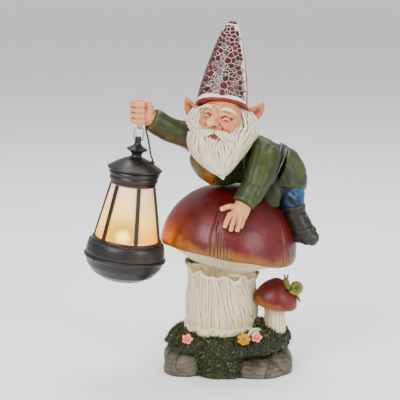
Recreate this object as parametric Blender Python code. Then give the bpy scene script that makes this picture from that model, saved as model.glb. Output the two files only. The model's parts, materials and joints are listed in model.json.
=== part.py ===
"""Garden gnome lying on a big mushroom and holding out a solar lantern.

Lengths below are in millimetres and become metres when a mesh is made. The origin is the centre
of the flat underside, +X runs towards the boots, +Y away from the face, +Z up.
"""
import math

import bmesh
import bpy
from mathutils import Matrix, Vector

MM = 0.001
FIT = 0.36            # how far a piece stays clear of the one it beds against
DETAIL = 0.55         # share of the side counts given below that is used

# The ground
BASE_RX, BASE_RY = 72.5, 56.0
ROCK_TOP = 30.0

# The big mushroom
STEM_X = -7.0
CAP_R, CAP_H = 75.5, 70.0
CAP_AT = Vector((0.0, 0.0, 137.0))
CAP_ROLL, CAP_PITCH = 7.3, -4.0        # right side lower, front edge higher

# The small mushroom and its snail
SMALL_AT = Vector((51.7, -18.0, 76.2))
SMALL_R, SMALL_H, SMALL_ROLL = 22.5, 29.0, 12.0

# The gnome
HEAD_AT = Vector((-9.0, -32.0, 283.0))
HEAD_ROLL, HEAD_YAW = 7.5, -20.0
HAT_AT = Vector((-7.8, -20.0, 294.5))
HAT_ROLL, HAT_PITCH, HAT_H = 7.5, -10.0, 93.0
HAT_PROFILE = [(27.5, 0), (24.2, 25), (17.4, 55), (11.7, 75.5), (5.6, 89), (3.0, 92.3), (0, HAT_H)]
WAIST = Vector((48.5, 1.0, 225.5))
WAIST_AXIS = Vector((0.90, 0.0, -0.43)).normalized()
WAIST_R = 26.5

# The hanging lantern: the bail swings on the eye at HOOK, the lantern swings on the bail's pins
HOOK = Vector((-95.6, -34.5, 274.1))
WIRE_R = 0.6
LINK = 0.85           # half the distance between the two crossing wires
EYE_R, EYE_YAW = 3.65, -55.0
BAIL_R, BAIL_DROP = 4.9, 12.9
LANTERN_TILT = 7.0
LEAD_R, LEAD_IN = 0.95, 17.7            # the lead, and how far from the lantern's axis it enters the roof

# Solar panel in the back of the cap
PANEL, BEZEL, BEZEL_DEPTH = 42.0, 48.0, 10.0
PANEL_TURN, PANEL_RISE = 10.0, 35.0

# Battery compartment in the back of the stem
TUB_W, TUB_LOW, TUB_HIGH, TUB_FRONT, TUB_BACK = 30.0, 47.0, 115.0, 19.0, 39.0
SWITCH_BAND = 8.0
WALL = 1.5


# ---------------------------------------------------------------- making solids
def spin(axis, degrees):
    return Matrix.Rotation(math.radians(degrees), 4, axis)


def at(point):
    return Matrix.Translation(Vector(point))


def coarse(sides):
    return max(6, int(sides * DETAIL) // 2 * 2)


def tidy(obj):
    bm = bmesh.new()
    bm.from_mesh(obj.data)
    bmesh.ops.remove_doubles(bm, verts=bm.verts, dist=2e-6)
    bmesh.ops.dissolve_degenerate(bm, dist=2e-6, edges=bm.edges)
    bmesh.ops.recalc_face_normals(bm, faces=bm.faces)
    bm.to_mesh(obj.data)
    bm.free()


def solid(name, verts, faces):
    mesh = bpy.data.meshes.new(name)
    mesh.from_pydata([Vector(v) * MM for v in verts], [], faces)
    obj = bpy.data.objects.new(name, mesh)
    bpy.context.collection.objects.link(obj)
    tidy(obj)
    return obj


def skin(rings, loop=False):
    """Faces between neighbouring rings; a ring of one vertex is a pole."""
    faces = []
    pairs = list(zip(rings, rings[1:])) + ([(rings[-1], rings[0])] if loop else [])
    for low, high in pairs:
        count = max(len(low), len(high))
        for k in range(count):
            n = (k + 1) % count
            face = [low[k % len(low)], low[n % len(low)], high[n % len(high)], high[k % len(high)]]
            face = list(dict.fromkeys(face))
            if len(face) > 2:
                faces.append(face)
    return faces


def lathe(name, profile, sides, frame, loop=False, shape=None):
    """Turn (radius, height) points about the frame's z; shape() may bend each point."""
    sides = coarse(sides)
    verts, rings = [], []
    for r, z in profile:
        ring = []
        for k in range(1 if r < 1e-6 else sides):
            a = 2 * math.pi * k / sides
            point = Vector((r * math.cos(a), r * math.sin(a), z))
            if shape is not None:
                point = shape(point, r, a)
            ring.append(len(verts))
            verts.append(frame @ point)
        rings.append(ring)
    return solid(name, verts, skin(rings, loop))


def ball(name, centre, radii, frame=None, sides=24, rows=12):
    rows = coarse(rows)
    frame = at(centre) @ (frame or Matrix.Identity(4)) @ Matrix.Diagonal((*radii, 1))
    profile = [(math.sin(math.pi * k / rows), -math.cos(math.pi * k / rows)) for k in range(rows + 1)]
    profile[0], profile[-1] = (0, -1), (0, 1)
    return lathe(name, profile, sides, frame)


def limb(name, stations, sides=20, up=(0, 0, 1), caps=(0.7, 0.7), ends=None):
    """An oval section (x, y, z, across, thick) carried along a path, with rounded or flat ends."""
    sides = coarse(sides)
    points = [Vector(s[:3]) for s in stations]
    verts, rings = [], []

    def ring(centre, tangent, across, thick):
        side = tangent.cross(Vector(up)).normalized()
        top = side.cross(tangent)
        row = []
        for k in range(sides):
            a = 2 * math.pi * k / sides
            row.append(len(verts))
            verts.append(centre + side * (across * math.cos(a)) + top * (thick * math.sin(a)))
        rings.append(row)

    def pole(point):
        rings.append([len(verts)])
        verts.append(point)

    count = len(points)
    tangents = [(points[min(i + 1, count - 1)] - points[max(i - 1, 0)]).normalized()
                for i in range(count)]
    if ends and ends[0] is not None:
        tangents[0] = Vector(ends[0]).normalized()
    if ends and ends[1] is not None:
        tangents[-1] = Vector(ends[1]).normalized()
    start, stop = tangents[0] * -min(stations[0][3:]), tangents[-1] * min(stations[-1][3:])
    pole(points[0] + start * caps[0])
    if caps[0] > 0.2:
        ring(points[0] + start * caps[0] * 0.7, tangents[0], stations[0][3] * 0.7, stations[0][4] * 0.7)
    for p, t, s in zip(points, tangents, stations):
        ring(p, t, s[3], s[4])
    if caps[1] > 0.2:
        ring(points[-1] + stop * caps[1] * 0.7, tangents[-1], stations[-1][3] * 0.7, stations[-1][4] * 0.7)
    pole(points[-1] + stop * caps[1])
    return solid(name, verts, skin(rings))


def wire(name, path, radius, sides=8, loop=False):
    """A round wire through the points, kept free of twist."""
    sides = coarse(sides)
    points = [Vector(p) for p in path]
    count = len(points)
    verts, rings = [], []
    side = None
    for i, p in enumerate(points):
        if loop:
            tangent = (points[(i + 1) % count] - points[i - 1]).normalized()
        else:
            tangent = (points[min(i + 1, count - 1)] - points[max(i - 1, 0)]).normalized()
        if side is None:
            side = tangent.orthogonal().normalized()
        side = (side - tangent * side.dot(tangent)).normalized()
        top = tangent.cross(side)
        row = []
        for k in range(sides):
            a = 2 * math.pi * k / sides
            row.append(len(verts))
            verts.append(p + side * (radius * math.cos(a)) + top * (radius * math.sin(a)))
        rings.append(row)
    if not loop:
        for end, i in ((0, 0), (len(rings) + 1, -1)):
            rings.insert(end, [len(verts)])
            verts.append(points[i])
    return solid(name, verts, skin(rings, loop))


def block(name, size, frame):
    x, y, z = (s / 2 for s in size)
    corners = [(-x, -y, -z), (x, -y, -z), (x, y, -z), (-x, y, -z),
               (-x, -y, z), (x, -y, z), (x, y, z), (-x, y, z)]
    faces = [(0, 3, 2, 1), (4, 5, 6, 7), (0, 1, 5, 4), (1, 2, 6, 5), (2, 3, 7, 6), (3, 0, 4, 7)]
    return solid(name, [frame @ Vector(c) for c in corners], faces)


def smooth_path(points, steps):
    """Catmull-Rom points through the given ones."""
    points = [Vector(p) for p in points]
    ends = [points[0] * 2 - points[1]] + points + [points[-1] * 2 - points[-2]]
    path = []
    for i in range(1, len(ends) - 2):
        p0, p1, p2, p3 = ends[i - 1:i + 3]
        for k in range(steps):
            t = k / steps
            path.append(0.5 * (2 * p1 + (p2 - p0) * t + (2 * p0 - 5 * p1 + 4 * p2 - p3) * t * t
                               + (3 * p1 - p0 - 3 * p2 + p3) * t ** 3))
    return path + [points[-1]]


# ---------------------------------------------------------------- joining and cutting
def drop(obj):
    mesh = obj.data
    bpy.data.objects.remove(obj)
    bpy.data.meshes.remove(mesh)


def volume(mesh):
    """Signed volume, or None when the mesh isn't closed."""
    bm = bmesh.new()
    bm.from_mesh(mesh)
    closed = all(e.is_manifold for e in bm.edges)
    total = bm.calc_volume(signed=True) if closed and len(bm.faces) > 3 else None
    bm.free()
    return total


def boolean(obj, other, how):
    before = volume(obj.data)
    for solver in ("EXACT", "MANIFOLD"):
        modifier = obj.modifiers.new("fit", "BOOLEAN")
        modifier.operation = how
        modifier.solver = solver
        modifier.object = other
        bpy.context.view_layer.update()
        graph = bpy.context.evaluated_depsgraph_get()
        result = bpy.data.meshes.new_from_object(obj.evaluated_get(graph))
        obj.modifiers.clear()
        after = volume(result)
        if after is not None and after > 0.02 * before:
            break
    old, obj.data = obj.data, result
    bpy.data.meshes.remove(old)
    tidy(obj)
    drop(other)
    return obj


def fuse(obj, *others):
    for other in others:
        boolean(obj, other, "UNION")
    return obj


def cut(obj, *others):
    for other in others:
        boolean(obj, other, "DIFFERENCE")
    return obj


WHOLE = {}            # each piece's shape before it was cut back


def grown(obj, by=FIT):
    """A copy of the uncut piece a little bigger all round, used as a cutter."""
    by = 0.0 if obj.name.endswith("_channel") else by
    mesh = WHOLE.get(obj.name, obj.data).copy()
    bm = bmesh.new()
    bm.from_mesh(mesh)
    bm.normal_update()
    moved = [v.co + v.normal * (by * MM * min(v.calc_shell_factor(), 2.0)) for v in bm.verts]
    for v, co in zip(bm.verts, moved):
        v.co = co
    bm.to_mesh(mesh)
    bm.free()
    copy = bpy.data.objects.new(obj.name + "_cutter", mesh)
    bpy.context.collection.objects.link(copy)
    copy.hide_render = True
    copy.display_type = "WIRE"
    return copy


def keep_biggest(obj):
    """Drop slivers that a cut has separated from the piece."""
    bm = bmesh.new()
    bm.from_mesh(obj.data)
    left, groups = set(bm.faces), []
    while left:
        todo, group = [left.pop()], set()
        while todo:
            face = todo.pop()
            group.add(face)
            for edge in face.edges:
                for other in edge.link_faces:
                    if other in left:
                        left.discard(other)
                        todo.append(other)
        groups.append(group)
    groups.sort(key=lambda g: -sum(f.calc_area() for f in g))
    spare = [f for group in groups[1:] for f in group]
    if spare:
        bmesh.ops.delete(bm, geom=spare, context="FACES")
    bm.to_mesh(obj.data)
    bm.free()


def bed(obj, *neighbours):
    """Cut a piece back so that it lies against its neighbours with a small gap."""
    WHOLE.setdefault(obj.name, obj.data.copy())
    for other in neighbours:
        cut(obj, grown(other))
        keep_biggest(obj)
    return obj


def set_origin(obj, point):
    point = Vector(point) * MM
    obj.data.transform(Matrix.Translation(-point))
    obj.location = point


# ---------------------------------------------------------------- the ground
def make_ground():
    squash = Matrix.Diagonal((1, BASE_RY / BASE_RX, 1, 1))

    def rocky(p, r, a):
        bumps = 1 + 0.03 * math.sin(5 * a + 1.0) + 0.02 * math.sin(11 * a + 2.0)
        front = math.exp(-((a - math.radians(268)) / 0.30) ** 4)     # the turf spills out here
        k = bumps * (1 - 0.22 * front) if r > 50 else 1.0
        return Vector((p.x * k, p.y * k, p.z))

    def grassy(p, r, a):
        k = 1 + 0.025 * math.sin(7 * a) + 0.02 * math.sin(13 * a + 1.0)
        lift = 1.3 * math.sin(6 * a + r * 0.2) if p.z > 36 and r < 62 else 0.0
        if p.z > 30 and r > 30:
            off = a - math.radians(330) if a > math.radians(150) else a + math.radians(30)
            bank = math.exp(-(off / (0.36 if off < 0 else 0.62)) ** 2)    # banked up round the small stem
            lift, k = lift + 15 * bank, k * (1 + 0.04 * bank)
        return Vector((p.x * k, p.y * k, p.z + lift))

    rock = lathe("ground_rock", [(0, 0), (66, 0), (71, 3), (72.5, 9), (71, 16), (67, 22), (58, ROCK_TOP),
                                 (0, ROCK_TOP)], 40, squash, shape=rocky)
    turf = lathe("ground_turf", [(0, 1.5), (60, 1.5), (67, 5), (69, 18), (69, 27), (65, 34), (57, 41), (41, 46),
                                 (0, 47)], 40, squash, shape=grassy)
    return rock, turf


def make_flower(name, x, y, z, radius):
    def petals(p, r, a):
        k = 0.82 + 0.18 * math.cos(5 * a) if r > radius * 0.6 else 1.0
        return Vector((p.x * k, p.y * k, p.z))
    profile = [(0, -7), (1.2, -7), (1.2, -1), (radius, 0), (radius, 1.6), (2.2, 1.4), (1.6, 3.0), (0, 3.4)]
    return lathe(name, profile, 20, at((x, y, z)) @ spin("X", 25), shape=petals)


# ---------------------------------------------------------------- the mushrooms
def make_big_mushroom():
    def grooved(p, r, a):
        k = 1 + 0.018 * math.cos(16 * a) + 0.012 * math.sin(5 * a)
        slope = -4.5 * math.cos(a) if 100 < p.z < 120 else 0.0
        return Vector((p.x * k, p.y * k, p.z + slope))
    stem = lathe("mushroom_stem", [(0, 38), (37, 38), (39.3, 48), (40.3, 60), (40, 76), (37.4, 92), (36.6, 104),
                                   (35.6, 109), (32, 112), (29, 126), (0, 126)], 48, at((STEM_X, 0, 0)), shape=grooved)

    def ragged(p, r, a):
        z = p.z
        front, back = max(0.0, -math.sin(a)) ** 2, max(0.0, math.sin(a)) ** 2
        if z > 105:
            z += -6.8 * math.cos(a) + 8 * front + back + 1.2 * math.sin(7 * a) + 0.8 * math.sin(11 * a + 1)
        return Vector((p.x, p.y, z))
    collar = lathe("stem_collar", [(30, 100), (34, 100), (36.2, 107), (39.4, 112), (38.4, 114), (34.8, 110), (30, 106)],
                   44, at((STEM_X, 0, 0)), loop=True, shape=ragged)

    def drooping(p, r, a):
        off = (math.degrees(a) - 322 + 180) % 360 - 180          # the rim sags most at the front right
        share = (min(r, 70) / 70) ** 3 if p.z <= 2.5 else max(0.0, 1 - (p.z - 2.5) / 40)
        return Vector((p.x, p.y, p.z - 6.5 * math.exp(-(off / 40) ** 2) * share))
    frame = at(CAP_AT) @ spin("Y", CAP_ROLL) @ spin("X", CAP_PITCH)
    gills = lathe("mushroom_gills", [(0, 1.6), (68.3, 1.6), (70.4, -2), (54, -9.5), (38, -18), (33, -20.5), (0, -20.5)],
                  44, frame, shape=drooping)
    profile = [(0, 2), (69, 2), (72, -3), (75, -1), (CAP_R, 4)]
    for k in range(1, 9):
        t = math.radians(4 + 86 * k / 8)
        profile.append((CAP_R * math.cos(t) if k < 8 else 0, CAP_H * math.sin(t) if k < 8 else CAP_H))
    cap = lathe("mushroom_cap", profile, 44, frame, shape=drooping)
    return stem, collar, gills, cap


def make_small_mushroom():
    stem = lathe("small_stem", [(0, 33), (14.5, 33), (15, 46), (14.4, 60), (14, 74), (0, 74)], 24,
                 at((SMALL_AT.x - 3.5, SMALL_AT.y, 0)))
    frame = at(SMALL_AT) @ spin("Y", SMALL_ROLL)
    profile = [(0, -6), (11, -6), (21, -1), (22.5, 1.5)]
    for k in range(1, 7):
        t = math.radians(3 + 87 * k / 6)
        profile.append((SMALL_R * math.cos(t) if k < 6 else 0, SMALL_H * math.sin(t)))
    cap = lathe("small_cap", profile, 28, frame)
    shell = ball("snail_shell", (72.8, -19.5, 95.6), (8.3, 4.6, 8.3), spin("Z", 8), 20, 12)
    body = limb("snail_body", [(78, -17.6, 80.5, 2, 1.6), (75.4, -18, 85.5, 3, 2.6), (70, -18.4, 92.5, 3.4, 3.2),
                               (65, -18.8, 97.6, 3, 3.2), (62.6, -19.6, 102.5, 2.7, 2.8), (62.2, -20, 106, 2.4, 2.4)], 12)
    for side in (-1, 1):
        stalk = wire("stalk", [(62.2 + 0.9 * side, -20, 105), (62.2 + 1.7 * side, -21, 111)], 0.8, 8)
        fuse(body, stalk)
    return stem, cap, shell, body


# ---------------------------------------------------------------- the gnome
def make_body():
    chest = ball("coat_chest", (-8, -12, 238), (34, 28, 30), None, 28, 14)
    back = limb("back", [(-6, -10, 239, 26, 26), (18, -5, 235, 27.5, 27), (34, -1, 231, 27, 26.5),
                         (*WAIST, WAIST_R, WAIST_R)], 28, caps=(0.5, 0), ends=(None, WAIST_AXIS))
    fuse(chest, back)
    start = WAIST + WAIST_AXIS * FIT
    skirt = limb("coat_skirt", [(*start, WAIST_R, WAIST_R), (54, 3, 222, 27.4, 27.6), (59, 4, 213, 28, 27.6),
                                (59, 1, 203, 27, 26.5)], 28,
                 caps=(0, 0.25), ends=(WAIST_AXIS, (0.5, -0.1, -0.86)))
    frame = at(WAIST) @ WAIST_AXIS.to_track_quat("Z", "Y").to_matrix().to_4x4()
    belt = lathe("belt", [(25.5, -2.6), (27.9, -2.6), (27.9, 2.6), (25.5, 2.6)], 32, frame, loop=True)
    vest = ball("waistcoat", (-8, -12, 238), (35.3, 29.3, 31.3), None, 28, 14)
    keep = block("keep", (20, 60, 50), at((-22, -44, 233)) @ spin("Y", -12))
    boolean(vest, keep, "INTERSECT")
    button = lathe("button", [(0, -2), (2.6, -2), (2.6, 1.2), (1.6, 1.9), (0, 1.9)], 14,
                   at((-16.7, -34.4, 217.8)) @ spin("X", 118) @ spin("Y", 12))
    return chest, skirt, belt, vest, button


def make_arms():
    raised = limb("raised_sleeve", [(-24, -14, 254, 17, 16), (-42, -17, 262.5, 16, 15.5), (-64, -26, 271, 13.4, 13.4),
                                    (-82.5, -34, 283.5, 12.2, 12.2)], 20, caps=(0.5, 0.12),
                  ends=(None, (-0.93, -0.25, 0.25)))
    resting = limb("resting_sleeve", [(31, -12, 250, 15, 15), (37, -24, 243, 18, 16.5), (33, -38, 228, 17, 16),
                                      (24, -49, 211, 14, 14), (14, -57.5, 196, 12.6, 12.2)], 22, caps=(0.6, 0.12))

    fist = ball("raised_hand", (-91.5, -34.5, 289), (10.5, 9.5, 12), spin("Y", 10), 20, 10)
    wrist = limb("wrist", [(-78, -32, 279.5, 8, 8), (-88, -34.5, 287, 8.5, 8.5)], 14)
    thumb = limb("thumb", [(-87, -39, 291, 4, 4), (-86.5, -40, 298, 3.8, 3.8), (-89, -40, 303, 3.3, 3.3)], 10)
    fingers = [limb("finger", [(-94, -42.5, z - 0.5, 3.8, 3.9), (-99.5, -39.5, z, 3.8, 4.0),
                               (-100.8, -33, z + 0.5, 3.8, 4.0), (-95, -28, z + 1, 3.8, 4.0)], 10)
               for z in (282.6, 288.6, 294.6, 300.2)]
    fuse(fist, wrist, thumb, *fingers)

    palm = limb("resting_hand", [(19, -52, 203, 7.5, 7.5), (12, -59, 193, 9, 7.5), (6.5, -64, 184, 11, 6),
                                 (4, -66.5, 179.5, 10.5, 5)], 18, up=(0, -1, 0.6))
    tips = [((-3.5, -66.5, 182), (-5.5, -70.5, 175), (-4.5, -72, 170.5)),
            ((1.2, -68, 180), (0.2, -72, 172.5), (1, -73.5, 168)),
            ((6.2, -68, 179), (6.2, -72, 171.5), (6.5, -73, 167.5)),
            ((11, -66.5, 180), (12, -70, 173.5), (12, -71.5, 169.5)),
            ((5, -61.5, 191), (-3, -63.5, 191.5), (-8, -64.5, 189))]
    for path in tips:
        fuse(palm, limb("finger", [(*p, 3.2 - 0.3 * i, 3.2 - 0.3 * i) for i, p in enumerate(path)], 10))
    return raised, resting, fist, palm


def make_legs():
    pieces = []
    for name, y in (("near", -9.0), ("far", 21.0)):
        trouser = limb("trouser_" + name, [(60, y + 2, 207, 13.5, 13.5), (67, y + 1, 200, 14.2, 14),
                                           (69, y, 190, 14, 13), (70, y - 1, 181, 12.6, 12.2)], 20,
                       caps=(0.4, 0.1), up=(0, 1, 0))
        boot = limb("boot_" + name, [(70.5, y - 2, 183, 12.8, 12.8), (74, y - 2.6, 171, 12, 12),
                                     (79, y - 3.5, 160, 12.5, 12), (86, y - 5.5, 152, 11.2, 10),
                                     (92.5, y - 6.5, 148.5, 8, 7.4)], 20, caps=(0.12, 0.8), up=(0, 1, 0))
        heel = ball("heel", (77, y - 4, 152), (9.5, 9.5, 9), None, 16, 8)
        fuse(boot, heel)
        pieces += [trouser, boot]
    return pieces


def make_head():
    frame = at(HEAD_AT) @ spin("Y", HEAD_ROLL) @ spin("Z", HEAD_YAW)

    def part(name, centre, radii, sides=18, rows=10):
        return ball(name, (0, 0, 0), (1, 1, 1), frame @ at(centre) @ Matrix.Diagonal((*radii, 1)), sides, rows)
    head = part("head", (0, 0, 0), (21.5, 20.5, 26), 26, 14)
    fuse(head, part("cheek", (-9.5, -13, -4), (8.5, 8.5, 7.5)), part("cheek", (9.5, -13, -4), (8.5, 8.5, 7.5)),
         part("nose", (0, -22.5, -2), (4.0, 6.2, 5.2), 14, 8), part("bridge", (0, -18.5, 4), (2.6, 4.2, 8), 12, 8))
    for side in (-1, 1):
        path = [frame @ Vector(p) for p in ((side * 3.5, -19.5, 9.5), (side * 8.5, -18.0, 13),
                                            (side * 13.5, -15.0, 10.5))]
        fuse(head, limb("brow", [(*path[0], 1.6, 1.8), (*path[1], 2.2, 2.4), (*path[2], 1.4, 1.5)], 10))
    left = limb("ear_left", [(-26, -20, 285, 4, 4.6), (-36, -17.5, 288, 4.2, 7.6), (-42, -15.5, 295, 3.4, 6.2),
                             (-46, -14, 304.5, 1.1, 1.3)], 14)
    right = limb("ear_right", [(8, -26, 284, 4, 4.6), (21, -20, 285, 4.2, 7.4), (29.5, -15, 289, 3.4, 6.8),
                               (37, -11.5, 297.5, 1.1, 1.3)], 14)
    hair = ball("hair", (-7, -22, 275), (37, 20.5, 28), spin("Y", HEAD_ROLL), 26, 14)
    beard = limb("beard", [(-8.5, -30, 271, 36.5, 20), (-10, -35, 260, 34.5, 20), (-11.5, -39, 250, 29.5, 18),
                           (-11.8, -43, 240, 21, 14), (-9.8, -47, 230.5, 11, 8.5), (-8.2, -49, 225.5, 5, 4.5)], 26,
                 up=(0, -1, 0), caps=(0.35, 0.8))
    lips = []
    for side in (-1, 1):
        path = [frame @ Vector(p) for p in ((side * 1.5, -21.5, -9.5), (side * 9, -20, -12.5),
                                            (side * 18, -15, -15.5), (side * 24, -9, -15))]
        lips.append(limb("whisker", [(*path[0], 3.2, 3.2), (*path[1], 4.6, 4.6), (*path[2], 4.2, 4.2),
                                     (*path[3], 2, 2)], 12))
    fuse(beard, *lips)
    return head, left, right, hair, beard


def hat_radius(z):
    for (r0, z0), (r1, z1) in zip(HAT_PROFILE, HAT_PROFILE[1:]):
        if z <= z1:
            return r0 + (r1 - r0) * (z - z0) / (z1 - z0)
    return 0.0


def make_hat():
    frame = at(HAT_AT) @ spin("Y", HAT_ROLL) @ spin("X", HAT_PITCH)

    def slanted(p, r=0, a=0):
        """The brim is cut at a slant, higher over the face."""
        fade = max(0.0, 1 - p.z / 60)
        return Vector((p.x, p.y, p.z - 0.24 * p.y * fade))
    shell = lathe("hat_shell", [(0, 0)] + HAT_PROFILE, 36, frame, shape=slanted)
    brim = lathe("hat_brim", [(26.6, -1.6), (28.6, -1.2), (29.4, 0.6), (28.9, 2.8), (27.6, 4.4), (25.8, 4.4)], 36,
                 frame, loop=True, shape=slanted)
    outer = [(0, -1.8), (28.4, -1.6), (29.3, 0.6), (28.8, 3.0), (27.6, 4.6)]
    room = lathe("hat_room", outer + [(r + 0.3, z + 0.3) for r, z in HAT_PROFILE[1:-1]] + [(0, HAT_H + 0.4)], 36,
                 frame, shape=slanted)
    verts, rings = [], []
    across, rows = 14, 6
    for j in range(rows + 1):
        z = 5.2 + (87.0 - 5.2) * j / rows
        for depth in (0.55, -1.1):
            ring = []
            for k in range(across + 1):
                a = math.radians(-90 + HEAD_YAW - 82 + 164 * k / across)
                r = hat_radius(z) + depth
                ring.append(len(verts))
                verts.append(frame @ slanted(Vector((r * math.cos(a), r * math.sin(a), z))))
            rings.append(ring)
    faces = []
    for j in range(rows):
        outer, inner = rings[2 * j], rings[2 * j + 1]
        outer2, inner2 = rings[2 * j + 2], rings[2 * j + 3]
        for k in range(across):
            faces.append((outer[k], outer[k + 1], outer2[k + 1], outer2[k]))
            faces.append((inner[k + 1], inner[k], inner2[k], inner2[k + 1]))
        faces.append((inner[0], outer[0], outer2[0], inner2[0]))
        faces.append((outer[-1], inner[-1], inner2[-1], outer2[-1]))
    for outer, inner, flip in ((rings[0], rings[1], True), (rings[-2], rings[-1], False)):
        for k in range(across):
            faces.append((outer[k], outer[k + 1], inner[k + 1], inner[k]))
    mosaic = solid("hat_mosaic", verts, faces)
    return shell, brim, mosaic, room


# ---------------------------------------------------------------- the lantern
def lantern_frame():
    hang = at(HOOK) @ spin("Y", LANTERN_TILT)
    return hang, hang @ at((0, 0, -BAIL_DROP))


def make_lantern():
    hang, frame = lantern_frame()
    eye_frame = at(HOOK + Vector((0, 0, EYE_R - LINK))) @ spin("Z", EYE_YAW)
    eye = wire("hand_eye", [eye_frame @ Vector((EYE_R * math.cos(a), 0, EYE_R * math.sin(a)))
                            for a in (2 * math.pi * k / 18 for k in range(18))], WIRE_R, 10, loop=True)

    top = LINK - BAIL_R
    path = [(1.5, 0, -BAIL_DROP), (3.8, 0, -BAIL_DROP), (4.5, 0, -BAIL_DROP + 0.4), (4.8, 0, -BAIL_DROP + 1.3)]
    path += [(BAIL_R * math.cos(a), 0, top + BAIL_R * math.sin(a))
             for a in (math.pi * k / 8 for k in range(9))]
    path += [(-x, y, z) for x, y, z in path[3::-1]]
    bail = wire("bail", [hang @ Vector(p) for p in path], WIRE_R, 10)

    finial = lathe("lantern_finial", [(0, 3.5), (3.1, 3.5), (3.5, 3.0), (3.4, -3.5), (4.6, -5.6), (8, -7.8),
                                      (11.2, -9.2), (11.5, -9.9), (10.8, -10.8), (8, -12.2), (6.2, -14.2),
                                      (5.2, -16.2), (6.4, -17.9), (0, -17.9)], 28, frame)
    cut(finial, lathe("hole", [(0, -6), (0.95, -6), (0.95, 6), (0, 6)], 12, frame @ spin("Y", 90)))
    roof = lathe("lantern_roof", [(0, -18.2), (7, -18.4), (13, -20.6), (20, -24.4), (29.2, -30.2), (29.6, -31.4),
                                  (28.6, -32.4), (26.8, -31.4), (19, -26.4), (12, -22.4), (0, -20.2)], 40, frame)
    collar = lathe("lantern_collar", [(21.6, -33.4), (26.2, -32.8), (27.4, -35.4), (26.6, -38.2), (25.2, -38.8),
                                      (26.2, -40.6), (26, -43.2), (24.6, -44.6), (24.8, -46.2), (24.4, -48),
                                      (21.6, -48)], 40, frame, loop=True)
    shade = lathe("lantern_shade", [(22.4, -48.4), (34.4, -106.6), (33.4, -106.6), (21.4, -48.4)], 36, frame,
                  loop=True)
    cage = lathe("lantern_cage", [(33.6, -107), (37.2, -107), (37.8, -108.4), (37.8, -110.4), (33.6, -110.4)], 40,
                 frame, loop=True)
    for k in range(6):
        turn_bar = spin("Z", -90 - 42 + 60 * k)
        low, high = Vector((36.0, 0, -108)), Vector((23.9, 0, -48.5))
        run = (high - low).normalized()
        middle = (low + high) / 2
        tilt = math.degrees(math.atan2(run.x, run.z))
        bar = block("bar", (2.0, 4.0, (high - low).length), frame @ turn_bar @ at(middle) @ spin("Y", tilt))
        fuse(cage, bar)
    band = lathe("lantern_band", [(33.7, -110.8), (38.6, -110.8), (40.8, -112), (41.8, -116), (42.6, -121),
                                  (43, -125.4), (41, -125.4), (39.6, -116), (37.6, -112.8), (33.7, -112.8)], 40,
                 frame, loop=True)
    floor = lathe("lantern_floor", [(0, -110.9), (33.2, -110.9), (33.2, -112.6), (0, -112.6)], 32, frame)
    bowl = lathe("lantern_bowl", [(43.2, -125.8), (44.6, -127), (44.6, -128.8), (43, -130.2), (40, -138),
                                  (33, -146.4), (22, -152.4), (10, -155), (0, -155.4), (0, -153.4), (9.6, -153),
                                  (21, -150.5), (31.5, -144.8), (38.2, -137), (41.2, -130), (41.2, -125.8)], 40,
                 frame, loop=True)
    led = lathe("lantern_led", [(0, -110.5), (3.4, -110.5), (3.4, -109.4), (2.5, -109.2), (2.5, -104.6), (1.8, -102.9),
                                (0, -102.2)], 16, frame)
    screws = []
    for letter, azimuth in (("a", -135), ("b", -15), ("c", 105)):
        place = frame @ spin("Z", azimuth) @ at((43.3, 0, -128)) @ spin("Y", 90)
        screw = lathe("bowl_screw_" + letter, [(0, -2.4), (0.9, -2.4), (0.9, 0.6), (1.35, 0.6), (1.35, 1.5),
                                               (0, 1.8)], 12, place)
        screws.append(screw)
    grommet = lathe("roof_grommet", [(1.35, -27.5), (2.1, -27.5), (2.1, -23.2), (2.9, -23), (2.6, -21.2),
                                     (1.35, -21)], 16, frame @ at((LEAD_IN, 0, 0)), loop=True)
    return eye, bail, finial, roof, collar, shade, cage, band, floor, bowl, led, screws, grommet


def make_lead():
    """A thin lead from the cuff down to the roof, in two lengths that meet beside the bail."""
    frame = lantern_frame()[1]
    y = HOOK.y
    upper = [(-73.5, y + 3, 273.5), (-79, y - 1.4, 277.4), (-83.6, y - 2.6, 279.2), (-87.2, y - 3, 278),
             (-88.7, y - 2.8, 274.4), (-88.2, y - 2.2, 270), (-87.1, y - 1.4, 265.4)]
    lower = [(-87.0, y - 1.35, 265.0), (-86.2, y - 1, 260.5), (-85, y - 0.5, 253), (-83.8, y, 245),
             tuple(frame @ Vector((LEAD_IN, 0, -20))), tuple(frame @ Vector((LEAD_IN, 0, -27)))]
    leads, channels = [], []
    for name, route in (("lead_upper", upper), ("lead_lower", lower)):
        path = smooth_path(route, 2)
        curve = bpy.data.curves.new(name, "CURVE")
        curve.dimensions = "3D"
        curve.bevel_depth = LEAD_R * MM
        curve.bevel_resolution = 2
        curve.use_fill_caps = True
        line = curve.splines.new("POLY")
        line.points.add(len(path) - 1)
        for point, place in zip(line.points, path):
            point.co = (*(place * MM), 1)
        lead = bpy.data.objects.new(name, curve)
        bpy.context.collection.objects.link(lead)
        leads.append(lead)
        channels.append(wire(name + "_channel", path, LEAD_R + FIT, 12))
    return leads, channels


# ---------------------------------------------------------------- solar panel and battery
def panel_frame():
    azimuth, rise = math.radians(90 + PANEL_TURN), math.radians(PANEL_RISE)
    out = Vector((math.cos(azimuth) * math.cos(rise), math.sin(azimuth) * math.cos(rise), math.sin(rise)))
    across = Vector((0, 0, 1)).cross(out).normalized()
    up = out.cross(across)
    frame = Matrix((across, up, out)).transposed().to_4x4()
    reach = math.sqrt(CAP_R ** 2 * (out.x ** 2 + out.y ** 2) + CAP_H ** 2 * out.z ** 2)
    foot = Vector((CAP_R ** 2 * out.x, CAP_R ** 2 * out.y, CAP_H ** 2 * out.z)) / reach
    return at(CAP_AT + foot - out * 2.5) @ frame


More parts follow.
